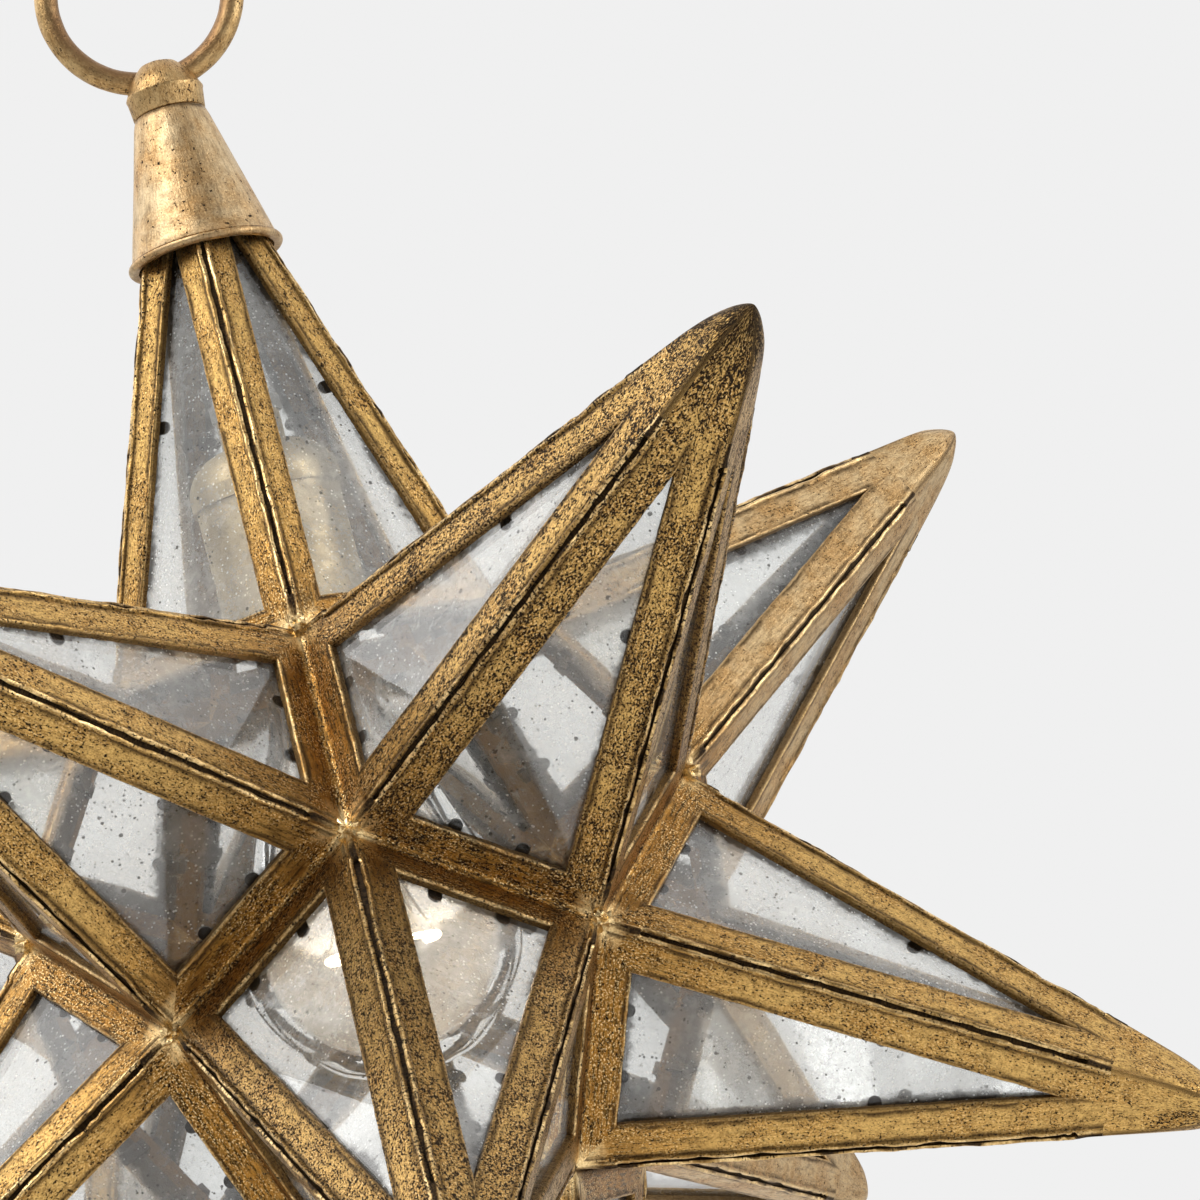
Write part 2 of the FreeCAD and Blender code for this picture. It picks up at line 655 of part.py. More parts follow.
# ---------------------------------------------------------------- lamp ------
def bulb_profile(inset):
    """Outline of the round part, flank and neck, a distance inside the glass."""
    centre = -BULB_DROP
    radius = BULB_RADIUS - inset
    turn = math.radians(BULB_TURN)
    low = (radius * math.cos(turn * 2), centre - radius * math.sin(turn * 2))
    flank = (radius * math.cos(turn), centre + radius * math.sin(turn))
    shoulder = (flank[0] - FLANK_LENGTH * math.sin(turn), flank[1] + FLANK_LENGTH * math.cos(turn))
    neck = (BULB_NECK - inset, NECK_START)
    pull = (neck[0] + (shoulder[0] - neck[0]) * NECK_PULL,
            shoulder[1] + (neck[1] - shoulder[1]) * NECK_LIFT)
    return [bend((0, centre - radius), low, flank)] + path(flank, shoulder) + [
        bend(shoulder, pull, neck)]


def bulb():
    grip = BASE_RADIUS - BASE_WALL
    inner = grip - BULB_GLASS
    top = BASE_FOOT + BASE_GRIP
    neck_end = BULB_NECK - BULB_GLASS
    outside = bulb_profile(0) + path((BULB_NECK, NECK_START), (BULB_NECK, BASE_FOOT), (grip, BASE_FOOT),
                                     (grip, top), (inner, top), (inner, BASE_FOOT - BULB_GLASS),
                                     (neck_end, BASE_FOOT - BULB_GLASS), (neck_end, NECK_START))
    close = path((0, -BULB_DROP - BULB_RADIUS + BULB_GLASS), (0, -BULB_DROP - BULB_RADIUS))
    wire = Part.Wire(Part.__sortEdges__(outside + bulb_profile(BULB_GLASS) + close))
    export("bulb_glass", [Part.Face(wire).revolve(CENTRE, Z, 360)])

    export("bulb_base", [tube(BASE_RADIUS, grip, BASE_FOOT, BASE_LENGTH)])
    foot = BASE_FOOT + BASE_LENGTH
    cone = Part.makeCone(INSULATOR_RADIUS, CONTACT_RADIUS, INSULATOR_HEIGHT, Z * foot)
    rest = Part.makeCylinder(grip, BASE_WALL, Z * (foot - BASE_WALL))
    export("bulb_insulator", [cone.fuse(rest)])
    export("bulb_contact", [Part.makeCylinder(CONTACT_RADIUS, CONTACT_HEIGHT,
                                              Z * (foot + INSULATOR_HEIGHT))])

    flare = Part.makeCone(STEM_RADIUS, inner, STEM_FLARE, Z * STEM_TOP)
    joint = Part.makeCylinder(inner, top - STEM_TOP - STEM_FLARE, Z * (STEM_TOP + STEM_FLARE))
    stem = Part.makeCylinder(STEM_RADIUS, STEM_TOP - STEM_FOOT, Z * STEM_FOOT)
    stem = stem.fuse(Part.makeSphere(STEM_RADIUS, Z * STEM_FOOT)).fuse([flare, joint])
    export("bulb_stem", [stem.removeSplitter()])
    export("filament", [filament()])
    export("filament_supports", supports())


def filament():
    """Glowing wire bent to most of a ring, open at the back."""
    ring = Part.makeTorus(FILAMENT_RADIUS, FILAMENT_WIRE, Z * -FILAMENT_DROP, Z, 0, 360, FILAMENT_SPAN)
    ring.rotate(CENTRE, Z, FRONT - FILAMENT_SPAN / 2)
    return ring


def supports():
    """Wires from the stem's end out and down to the filament."""
    wires = []
    top = STEM_FOOT - STEM_RADIUS * SUPPORT_ROOT_DROP
    hold = -FILAMENT_DROP + FILAMENT_WIRE
    step = FILAMENT_SPAN / (SUPPORT_COUNT - 1)
    for index in range(SUPPORT_COUNT):
        degrees = FRONT - FILAMENT_SPAN / 2 + step * index
        degrees += SUPPORT_MARGIN * (SUPPORT_COUNT - 1 - 2 * index) / (SUPPORT_COUNT - 1)
        start = polar(STEM_RADIUS * SUPPORT_ROOT, degrees, top)
        end = polar(FILAMENT_RADIUS, degrees, hold)
        way = end - start
        wires.append(Part.makeCylinder(SUPPORT_WIRE, way.Length, start, way))
    stem_end = Part.makeSphere(STEM_RADIUS, Z * STEM_FOOT)
    ring = filament()
    return [wire.cut(stem_end).cut(ring) for wire in wires]


def main():
    os.makedirs("parts", exist_ok=True)
    star()
    hinge()
    catch_spring()
    top_hardware()
    socket()
    bulb()


main()
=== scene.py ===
"""Moravian star pendant: the dressed model, its materials, stage and camera.

The twelve glazed points, their tabs, the cap, the ring and the lamp are built
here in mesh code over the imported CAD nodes.  Metres, in the CAD's own frame.
"""

import math

import bpy
import numpy as np
from bpy.props import FloatProperty, FloatVectorProperty, IntProperty, PointerProperty
from mathutils import Matrix, Vector, noise
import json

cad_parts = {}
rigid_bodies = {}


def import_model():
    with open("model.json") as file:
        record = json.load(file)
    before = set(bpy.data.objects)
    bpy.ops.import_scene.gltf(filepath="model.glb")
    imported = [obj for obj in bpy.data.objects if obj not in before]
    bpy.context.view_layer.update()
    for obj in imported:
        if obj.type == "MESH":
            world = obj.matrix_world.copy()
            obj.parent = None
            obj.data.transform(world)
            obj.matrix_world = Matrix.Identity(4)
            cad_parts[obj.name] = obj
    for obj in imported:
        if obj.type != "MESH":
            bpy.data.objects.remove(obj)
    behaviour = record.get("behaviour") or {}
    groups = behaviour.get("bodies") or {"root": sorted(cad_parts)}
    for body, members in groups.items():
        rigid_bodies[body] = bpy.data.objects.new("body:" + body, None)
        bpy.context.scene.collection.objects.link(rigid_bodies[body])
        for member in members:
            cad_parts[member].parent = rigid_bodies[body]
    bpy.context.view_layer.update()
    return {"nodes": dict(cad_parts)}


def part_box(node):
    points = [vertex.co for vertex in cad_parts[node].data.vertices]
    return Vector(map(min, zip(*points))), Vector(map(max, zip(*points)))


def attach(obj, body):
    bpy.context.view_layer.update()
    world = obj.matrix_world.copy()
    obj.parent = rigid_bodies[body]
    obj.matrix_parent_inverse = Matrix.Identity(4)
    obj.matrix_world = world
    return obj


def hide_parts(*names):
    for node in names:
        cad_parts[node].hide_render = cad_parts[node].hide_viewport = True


bl_info = {
    "name": "Moravian Star Pendant",
    "version": (1, 0, 0),
    "blender": (4, 5, 0),
    "location": "View3D > Sidebar > Pendant",
    "description": "Builds a gilded, glazed twelve-point star pendant over its CAD frame",
    "category": "Add Mesh",
}

for leftover in list(bpy.data.objects):
    bpy.data.objects.remove(leftover)
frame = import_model()

SIDES = 5                   # frames, and panes, round each point
TURN = 2 * math.pi / SIDES
GOLDEN = (1 + math.sqrt(5)) / 2
FRONT = -math.pi / 2        # the direction of the viewer, about Z
MM = 1000                   # rims and spots are kept in millimetres
FAR = 50.0                  # a rim distance that no finish reacts to
NO_RIM = (FAR, FAR, FAR)

BODY = "star_body"
DOOR = "door"
GILT = "gilded_iron"
GLASS = "antiqued_glass"
TIN = "blackened_tin"
ROWS = ("upper", "lower")
DOOR_SIDE = 1               # the side of each lower point that faces the door


def star_centre():
    """Height of the star's centre, midway between its upper and lower points."""
    upper, lower = [[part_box("%s_point_frame_%d" % (row, index + 1)) for index in range(SIDES)]
                    for row in ROWS]
    return (max(high.z for _, high in upper) + min(low.z for low, _ in lower)) / 2


STAR_CENTRE = star_centre()
CENTRE = Matrix.Translation((0, 0, STAR_CENTRE))


# ------------------------------------------------------------ settings ------
def number(name, description, default, **limits):
    return FloatProperty(name=name, description=description, default=default, **limits)


def length(name, description, default):
    return number(name, description, default, min=0.0, unit="LENGTH", precision=5)


def share(name, description, default):
    return number(name, description, default, min=0.0, max=1.0, subtype="FACTOR")


def watts(name, description, default):
    return number(name, description, default, unit="POWER")


def colour(name, description, default):
    return FloatVectorProperty(name=name, description=description, default=default,
                               min=0.0, max=1.0, subtype="COLOR", size=3)


class PENDANT_PG_star(bpy.types.PropertyGroup):
    """Sizes of the star's metalwork."""
    edge: length("Edge", "Edge of the twelve-sided body, where two points meet", 0.060)
    height: length("Point height", "Base of a point to where its sides would meet", 0.154)
    sheet: length("Sheet", "Thickness of the face frames", 0.002)
    ridge_strip: length("Ridge strip", "Width of the frame along a ridge", 0.010)
    top_strip: length("Top ridge strip", "The same on the top point", 0.0084)
    base_strip: length("Base strip", "Width of the frame along a point's base", 0.0082)
    tip_radius: length("Tip radius", "Axis to ridge where the solid tip begins", 0.01392)
    tip_length: length("Tip length", "From there to the nose", 0.0269)
    tip_shoulder: length("Tip shoulder", "Flat-sided part of the tip", 0.006)
    bluntness: number("Bluntness", "Power of the nose's curve, less is blunter", 0.68,
                      min=0.3, max=1.0)
    cut_radius: length("Cut radius", "Axis to ridge where the top point is cut", 0.0136)
    slot: length("Slot", "Half width of the slot along a ridge", 0.00072)
    slot_depth: length("Slot depth", "Depth of that slot", 0.0015)
    slot_start: length("Slot start", "From the base corner to the slot", 0.010)
    slot_stop: length("Slot stop", "From the end of the slot to the tip", 0.006)
    bead: length("Bead", "Width of the rolled edge beside the slot", 0.0015)
    bead_rise: length("Bead rise", "Height of the rolled edge", 0.00042)
    fillet: length("Fillet", "Width of the solder fillet on each side of a valley", 0.0017)
    joint: length("Solder joint", "Radius of the solder where three points meet", 0.0029)
    door_gap: length("Door gap", "Seam round the door, square to its mitres", 0.0003)


class PENDANT_PG_glazing(bpy.types.PropertyGroup):
    """Glass of the star and the tabs that hold it."""
    pane: length("Pane", "Thickness of the glass", 0.0024)
    ridge_inset: length("Ridge inset", "From a ridge to the hidden edge of the glass", 0.0065)
    base_inset: length("Base inset", "From the base to the hidden edge of the glass", 0.0035)
    top_gap: length("Top gap", "From the trimmed top of the glass to the tip", 0.006)
    tab_width: length("Tab width", "Width of the bent tabs", 0.0032)
    tab_gauge: length("Tab gauge", "Thickness of the tabs", 0.0007)
    tab_foot: length("Tab foot", "Length brazed to the frame", 0.0018)
    tab_clearance: length("Tab clearance", "Between a tab's foot and the glass", 0.0002)
    tab_reach: length("Tab reach", "Part of a tab that shows past the frame", 0.0016)
    tab_first: length("Tab spacing", "From the middle of a base to its tabs", 0.008)
    tab_height: share("Ridge tab height", "Place of the ridge tabs up a ridge", 0.42)
    tint: colour("Tint", "Colour of the glass", (0.93, 0.94, 0.935))
    haze: colour("Haze", "Colour of the cloudy film on the glass", (0.74, 0.735, 0.715))
    tarnish: colour("Tarnish", "Colour of its dark edges and spots", (0.035, 0.031, 0.027))


class PENDANT_PG_finish(bpy.types.PropertyGroup):
    """Colours of the gilding and of the plainer metals."""
    leaf: colour("Leaf", "Pale gold of the flat strips", (0.64, 0.41, 0.135))
    # Deeper gold below: a streaky finish in the valleys, and painted bounce light there.
    brushed: colour("Brushed", "Deeper gold in the valleys", (0.42, 0.195, 0.032))
    # Bright gold below: worn gilding, and the painted highlights and glints.
    burnished: colour("Burnished", "Bright gold of the rubbed edges", (0.97, 0.73, 0.37))
    # Glaze brown and umber below also colour the painted shade.
    glaze: colour("Glaze", "Brown glaze over the gold", (0.17, 0.088, 0.026))
    umber: colour("Umber", "Dark ground that shows in the pits", (0.007, 0.004, 0.0022))
    champagne: colour("Champagne", "Paler gold of the cap", (0.60, 0.465, 0.285))
    bronze: colour("Bronze", "Brown of the ring's inner side", (0.22, 0.125, 0.06))
    tin: colour("Tin", "Blackened tin of the tabs", (0.045, 0.038, 0.032))
    steel: colour("Steel", "Dulled steel of the nuts, nipple and disc", (0.30, 0.29, 0.27))
    brass: colour("Brass", "Dulled brass of the socket", (0.50, 0.40, 0.25))
    fibre: colour("Fibre", "Fibre liner of the socket", (0.20, 0.13, 0.07))
    black: colour("Black", "Black insulators of the lamp and socket", (0.02, 0.02, 0.022))
    wire: colour("Wire", "Wires that hold the filament", (0.35, 0.34, 0.33))


class PENDANT_PG_hardware(bpy.types.PropertyGroup):
    """Sizes of the cap and the hanging ring."""
    skirt: length("Skirt", "From the cut of the top point down to the cap's rim", 0.010)
    cap_length: length("Cap length", "Rim to crown", 0.038)
    cap_top: length("Cap top radius", "Radius of the crown", 0.009)
    cap_wall: length("Cap wall", "Thickness of the cap", 0.0012)
    cap_lip: length("Cap lip", "Radius of the rolled rim", 0.0011)
    bore: length("Bore", "Radius of the hole for the nipple", 0.00505)
    wire_bore: length("Wire bore", "Radius of the hole for the wires", 0.0032)
    ring_radius: length("Ring radius", "Centre line of the ring", 0.023)
    ring_rod: length("Ring rod", "Radius of its rod", 0.00295)
    ring_rise: length("Ring rise", "Cap top to the centre of the ring", 0.032)
    neck_foot: length("Neck foot", "Radius of the neck on the cap", 0.009)
    neck_band: length("Neck band", "Radius of the neck's band", 0.0097)
    band_height: length("Band height", "Height of the neck below its flare", 0.0054)
    neck_crown: length("Neck crown", "Height where the neck dies into the ring", 0.013)
    crown_radius: length("Crown radius", "Radius of the neck there", 0.0046)


class PENDANT_PG_lamp(bpy.types.PropertyGroup):
    """The lamp inside the star."""
    bulb: length("Bulb radius", "Radius of the round part", 0.033)
    drop: length("Bulb drop", "Its centre below the star's centre", 0.003)
    wall: length("Bulb wall", "Thickness of the glass", 0.0008)
    flank: length("Bulb flank", "Straight part between the round part and the neck", 0.036)
    neck: length("Bulb neck", "Radius of the neck", 0.0136)
    neck_start: length("Neck start", "Star's centre to the foot of the neck", 0.060)
    neck_stop: length("Neck stop", "Star's centre to the top of the neck", 0.0728)
    clear: colour("Clear", "Colour of the lamp's glass", (0.985, 0.985, 0.98))
    hoop: length("Filament hoop", "Outer radius of the hoop that the coil follows", 0.01345)
    coil: length("Coil", "Radius of the filament's fine coil", 0.0007)
    coil_wire: length("Coil wire", "Radius of the coiled wire", 0.00016)
    turns: IntProperty(name="Turns", description="Turns of the filament's coil", default=54,
                       min=8)
    glow: colour("Glow", "Colour of the lit filament", (1.0, 0.72, 0.42))
    hot: colour("Hot", "Its hottest spots", (1.0, 0.78, 0.50))
    warmth: colour("Warmth", "Colour of the light that fills the star", (1.0, 0.80, 0.58))
    brightness: number("Brightness", "Strength of the filament", 240.0)
    light: watts("Lamp power", "Power that the lamp gives the inside", 0.22)


class PENDANT_PG_stage(bpy.types.PropertyGroup):
    """Backdrop, lights and camera."""
    backdrop: number("Backdrop", "Brightness of the pale backdrop", 0.871)
    gloom: number("Gloom", "Brightness of the dim side behind the camera", 0.16)
    floor_drop: length("Floor drop", "Hanging point down to the floor", 0.95)
    key: watts("Key light", "Soft light from the upper left", 16.0)
    rim: watts("Rim light", "Soft light from behind on the right", 8.0)
    side: watts("Side light", "Soft light from behind on the left", 3.6)
    fill: watts("Fill light", "Soft light from low on the right", 1.3)
    lens: number("Lens", "Focal length of the camera", 115.4, unit="CAMERA")


# -------------------------------------------------------- piece building ----
class Skin:
    """Gathers the faces of one piece, with the surface facts its finish reads.

    A corner is (place, grain, rim, spot): grain runs along and across the
    metal in metres; rim is the distance in millimetres to the window, the
    ridge and the valley; spot is the distance along, the height and a number
    that differs from strip to strip.
    """

    def __init__(self):
        self.places = []
        self.grains = []
        self.rims = []
        self.spots = []
        self.faces = []
        self.slots = []

    def corner(self, place, grain=(0.0, 0.0), rim=NO_RIM, spot=(0.0, 0.0, 0.0)):
        self.places.append(tuple(place))
        self.grains.append(grain)
        self.rims.append(rim)
        self.spots.append(spot)
        return len(self.places) - 1

    def face(self, corners, slot=0):
        self.faces.append(tuple(corners))
        self.slots.append(slot)

    def grid(self, rows, ring=False, flip=False, slot=0):
        """Faces between rows of corners; a ring also joins last to first."""
        count = len(rows[0])
        for low, high in zip(rows, rows[1:]):
            for index in range(count if ring else count - 1):
                after = (index + 1) % count
                quad = (low[index], low[after], high[after], high[index])
                self.face(quad[::-1] if flip else quad, slot)

    def add(self, other, matrix, shift=0.0):
        """Take in another skin, moved, with its strips numbered anew."""
        start = len(self.places)
        turned = np.array(other.places) @ np.array(matrix.to_3x3()).T
        self.places += [tuple(place) for place in turned + np.array(matrix.translation)]
        self.grains += other.grains
        self.rims += other.rims
        self.spots += [(along, high, strip + shift) for along, high, strip in other.spots]
        self.faces += [tuple(corner + start for corner in face) for face in other.faces]
        self.slots += other.slots
        return self

    def build(self, name, materials, sharp=32.0, age=0.5):
        mesh = bpy.data.meshes.new(name)
        mesh.from_pydata(self.places, [], self.faces)
        loops = np.empty(len(mesh.loops), np.int32)
        mesh.loops.foreach_get("vertex_index", loops)
        layer = mesh.uv_layers.new(name="grain")
        layer.data.foreach_set("uv", np.array(self.grains, np.float32)[loops].ravel())
        for label, values in (("rim", self.rims), ("spot", self.spots)):
            made = mesh.attributes.new(label, "FLOAT_VECTOR", "POINT")
            made.data.foreach_set("vector", np.array(values, np.float32).ravel())
        made = mesh.attributes.new("age", "FLOAT", "POINT")
        made.data.foreach_set("value", np.full(len(self.places), age, np.float32))
        mesh.polygons.foreach_set("material_index", self.slots)
        for material in materials:
            mesh.materials.append(material)
        mesh.shade_smooth()
        mesh.set_sharp_from_angle(angle=math.radians(sharp))
        mesh.update()
        piece = bpy.data.objects.new(name, mesh)
        bpy.context.scene.collection.objects.link(piece)
        return piece


def dress(piece, body, slot, *nodes):
    """Carry a piece on its body, in place of the CAD nodes that it stands for."""
    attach(piece, body)
    if nodes:
        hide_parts(*nodes)


def paint(material, *nodes):
    """Give carried CAD nodes their finish."""
    for node in nodes:
        mesh = frame["nodes"][node].data
        mesh.materials.clear()
        mesh.materials.append(material)


def blend(a, b, amount):
    return a + (b - a) * amount


def steps(low, high, count):
    """Even steps from low to high, both ends among them."""
    return [blend(low, high, step / count) for step in range(count + 1)]


def ease(low, high, value):
    amount = min(1.0, max(0.0, (value - low) / (high - low)))
    return amount * amount * (3 - 2 * amount)


def polar(radius, angle, height):
    return Vector((radius * math.cos(angle), radius * math.sin(angle), height))


def wander(size, *place):
    """Smooth unevenness, up to about a size either way."""
    return size * noise.noise(Vector(place))


# --------------------------------------------------------------- a point ----
class Side:
    """One flat side of the point that stands on +Z, about the star's centre."""

    def __init__(self, shape, index):
        self.shape = shape
        self.left = polar(shape.corner_radius, FRONT + TURN * index, shape.rise)
        self.right = polar(shape.corner_radius, FRONT + TURN * (index + 1), shape.rise)
        self.apex = Vector((0, 0, shape.rise + shape.height))
        self.middle = (self.left + self.right) / 2
        self.across = (self.right - self.left).normalized()
        self.up = (self.apex - self.middle).normalized()
        self.out = self.across.cross(self.up)
        self.shrink = 1 - shape.sheet / self.middle.dot(self.out)

    def at(self, across, up, out=0.0):
        return self.middle + self.across * across + self.up * up + self.out * out

    def beside(self, hand, along, gap, lift=0.0):
        """A place along a ridge, a gap in from it."""
        lean = self.shape.lean
        across = self.shape.edge / 2 - along * math.sin(lean) - gap * math.cos(lean)
        return self.at(hand * across, along * math.cos(lean) - gap * math.sin(lean), lift)


class Shape:
    """A point's worked-out sizes: a usual one, or the top one under the cap."""

    def __init__(self, star, capped=False):
        self.edge = star.edge
        self.height = star.height
        self.sheet = star.sheet
        self.strip = star.top_strip if capped else star.ridge_strip
        self.base = star.base_strip
        self.side_radius = star.edge / (2 * math.tan(TURN / 2))
        self.corner_radius = star.edge / (2 * math.sin(TURN / 2))
        self.rise = self.side_radius * GOLDEN
        self.slope = math.hypot(star.height, self.side_radius)
        self.steep = math.atan2(star.height, self.side_radius)
        self.lean = math.atan2(star.edge / 2, self.slope)
        top_radius = star.cut_radius if capped else star.tip_radius
        self.top = star.height * (1 - top_radius / self.corner_radius)
        self.top_up = self.top / math.sin(self.steep)
        self.half_ridge = math.acos(math.sin(TURN / 2) * math.sin(self.steep))
        self.slot_end = self.limits(0.0)[1] - star.slot_stop
        self.sides = [Side(self, index) for index in range(SIDES)]

    def limits(self, gap):
        """Where a line at a gap from a ridge starts and stops along it."""
        cos, sin = math.cos(self.lean), math.sin(self.lean)
        low = gap * (self.base / self.strip + sin) / cos
        high = min((self.edge / 2 - gap * cos) / sin, (self.top_up + gap * sin) / cos)
        return low, high


ROUNDED = 0.0004                # how far a window's edge rounds down
EDGE_DROP = 0.00036             # and how deep
EDGE_STEPS = (0.00035, 0.00016, 0.00005, 0.0)
EDGE_FLAT = 0.0009              # from the last flat row to a window
SOFT_FOOT = 0.0005              # soft step on the far side of a bead
BEAD_PARTS = (0, 0.1, 0.22, 0.36, 0.5, 0.64, 0.8, 0.92, 1.0)
CORNER_ROWS = [0.0, 0.0008, 0.002, 0.0032, 0.0044, 0.0056]
SLOT_STEP = 0.0004              # between rows near a slot's ends
SLOT_ROWS = 54                  # rows along the rest of a slot
SLOT_ROUND = 0.0008             # length of a slot's round end
SETTLE = 0.003                  # unevenness dies out this near a corner
RIDGE_BACK, RIDGE_MITRE = 0.007, 0.012      # the way round from a window to the hidden faces
VALLEY_HALF = math.radians(46.7)            # half the angle between two points in a valley
FILLET_PARTS = (1.0, 0.75, 0.5, 0.25, 0.0)
SEAM = [(0.00008, -0.00042), (0.00026, -0.00012), (0.0006, 0.0)]   # the door's edge: gap, lift
BASE_STEPS = 44                 # columns along a base


def edge_lift(distance):
    """How far the surface rounds down near a window, by the distance to it."""
    near = max(0.0, 1 - distance / ROUNDED)
    return -EDGE_DROP * near ** 2.2


def ridge_rows(shape, star):
    """Places along a ridge where rows of faces fall, closer at the slot's ends."""
    low, high = star.slot_start, shape.slot_end
    inset = 10 * SLOT_STEP
    rows = CORNER_ROWS + [low + step * SLOT_STEP for step in range(-8, 7)]
    rows += steps(low + inset, high - inset, SLOT_ROWS)
    rows += [high + step * SLOT_STEP for step in range(-6, 7)]
    rows += [high + star.slot_stop * part for part in (0.6, 0.8, 1.0)]
    return sorted(rows)


def ridge_strip(skin, side, hand, star, strip_number):
    """Half of a ridge: slot wall, rolled bead, flat strip, window edge and back."""
    shape, bead = side.shape, star.bead
    low, high = star.slot_start, shape.slot_end
    rows = ridge_rows(shape, star)
    corner = side.left if hand < 0 else side.right
    ridge = (side.apex - corner).normalized()
    outward = (corner - ridge * corner.dot(ridge)).normalized()
    sideways = side.beside(hand, 0, 0.001) - corner
    sideways = (sideways - outward * sideways.dot(outward)).normalized()
    spread = 1 / math.sin(shape.half_ridge)
    shoulder = (shape.edge / 2) * (1 - shape.top_up / shape.slope) * math.cos(shape.lean)
    flats = sorted([shape.strip * 0.4, shape.strip * 0.6, shoulder, shape.strip - EDGE_FLAT])
    made = []

    def slot_width(along):
        past = max(low - along, along - high, 0.0)
        ragged = (0.9 + wander(0.7, along * 130, strip_number * 3.1, hand)
                  + wander(0.5, along * 800, strip_number, hand))
        round_end = math.sqrt(max(0.0, 1 - (past / SLOT_ROUND) ** 2))
        return star.slot * max(0.25, ragged) * round_end

    def bead_lift(along, step):
        """Height of the rolled edge, and how fully it is there."""
        full = ease(0.002, 0.008, along) * (1 - ease(high - 0.002, high + 0.0045, along))
        part = min(1.0, step / bead)
        soft = -0.00022 * (1 - min(1.0, step / (bead + SOFT_FOOT))) ** 2
        rise = star.bead_rise * (1 + wander(0.7, along * 150, strip_number, 5.0 + hand))
        rolled = rise * math.sin(math.pi * part ** 0.7) ** 0.8 - 0.00030 * (1 - part) ** 4
        rolled -= 0.00010 * max(0.0, 1 - abs(step - bead) / SOFT_FOOT)
        bump = wander(0.00016, along * 520, step * 700, strip_number)
        shift = wander(0.00010, along * 200, strip_number, 9.0) * full * math.sin(math.pi * part)
        return blend(soft, rolled, full) + bump * full, shift

    for row in rows:
        line = []

        def along_at(gap):
            start, stop = shape.limits(gap)
            return start + row / rows[-1] * (stop - start)

        def put(place, along, gap, behind=0.0):
            """Behind is how far round the window's edge the place is."""
            rim = ((shape.strip - gap - behind) * MM, gap * MM, FAR)
            spot = (along * MM, (place.z - shape.rise) * MM, strip_number)
            line.append(skin.corner(place, (along, (gap + behind) * hand), rim, spot))

        along = along_at(0.0)
        wide = slot_width(along)
        deep = blend(0.00018, star.slot_depth, min(1.0, wide / star.slot * 1.6))
        floor = side.beside(hand, along, 0) - outward * deep
        put(floor, along, 0)
        put(floor + sideways * wide, along, 0)
        settle = ease(0.0, SETTLE, row)
        for step in [bead * part for part in BEAD_PARTS] + [bead + SOFT_FOOT]:
            along = along_at(step)
            gap = slot_width(along) * spread + step
            lift, shift = bead_lift(along, step)
            put(side.beside(hand, along, gap + shift, lift), along, gap)
        for gap in flats:
            along = along_at(gap)
            bump = wander(0.00009, along * 130, gap * 260, strip_number) * settle
            put(side.beside(hand, along, gap, bump), along, gap)
        ragged = wander(0.00016, along_at(shape.strip) * 330, strip_number, 20.0) * settle
        for distance in EDGE_STEPS:
            gap = shape.strip - distance
            along = along_at(gap)
            put(side.beside(hand, along, gap + ragged, edge_lift(distance)), along, gap)
        put(side.beside(hand, along, gap + ragged, -shape.sheet), along, gap, shape.sheet)
        along = along_at(shape.strip * 0.5)
        put(side.beside(hand, along, shape.strip * 0.5, -shape.sheet), along, shape.strip,
            RIDGE_BACK)
        along = along_at(0.0)
        put(side.beside(hand, along, 0) * side.shrink, along, shape.strip, RIDGE_MITRE)
        made.append(line)
    skin.grid(made, ring=True, flip=hand > 0)


def base_strip(skin, side, strip_number, star, open_seam):
    """The frame along a point's base: a solder fillet, or the door's open seam."""
    shape, base = side.shape, side.shape.base
    if open_seam:
        columns = list(SEAM)
    else:
        radius = star.fillet * math.tan(VALLEY_HALF)
        turns = [(math.pi / 2 - VALLEY_HALF) * part for part in FILLET_PARTS]
        columns = [(star.fillet - radius * math.sin(turn), radius * (1 - math.cos(turn)))
                   for turn in turns]
    columns += [(0.0030, 0.0), (0.0048, 0.00002), (base - EDGE_FLAT, 0.0)]
    columns += [(base - distance, edge_lift(distance)) for distance in EDGE_STEPS]
    columns += [(base, -shape.sheet), (base * 0.5, -shape.sheet)]
    made = []
    for part in steps(-1.0, 1.0, BASE_STEPS):
        line = []
        for gap, lift in columns:
            reach = shape.edge / 2 * (1 - gap / shape.slope)
            reach -= gap * shape.strip / base / math.cos(shape.lean)
            across = reach * part
            settle = ease(0.0, SETTLE, reach - abs(across))
            bump = wander(0.00010, across * 160, gap * 300, strip_number) * settle
            ragged = 0.0
            if gap >= base - 0.0004:
                ragged = wander(0.00018, across * 330, strip_number, 20.0) * settle
            elif gap < 0.003 and not open_seam:
                bump = settle * wander(0.00030, side.middle.x * 50 + across * 260,
                                       abs(across) * 90, 3.0)
            place = side.at(across, gap + ragged, lift + bump)
            spot = ((shape.edge / 2 - abs(across)) * MM, 0.0, strip_number + 0.37)
            if lift < -0.001:
                behind = base - gap - lift
                rim = (-behind * MM, FAR, 20.0)
            else:
                behind = 0.0
                rim = ((base - gap) * MM, FAR, gap * MM + (0.0 if open_seam else 1.2))
            line.append(skin.corner(place, (across, gap + 2 * behind + 0.05), rim, spot))
        back = side.at(shape.edge / 2 * part, 0) * side.shrink
        line.append(skin.corner(back, (len(made) * 0.001, 0.08), (-12.0, FAR, 20.0),
                                (30.0, 0.0, strip_number)))
        made.append(line)
    skin.grid(made, ring=True)


LUMP_RINGS, LUMP_STEPS = 12, 24     # faces of a lump of solder


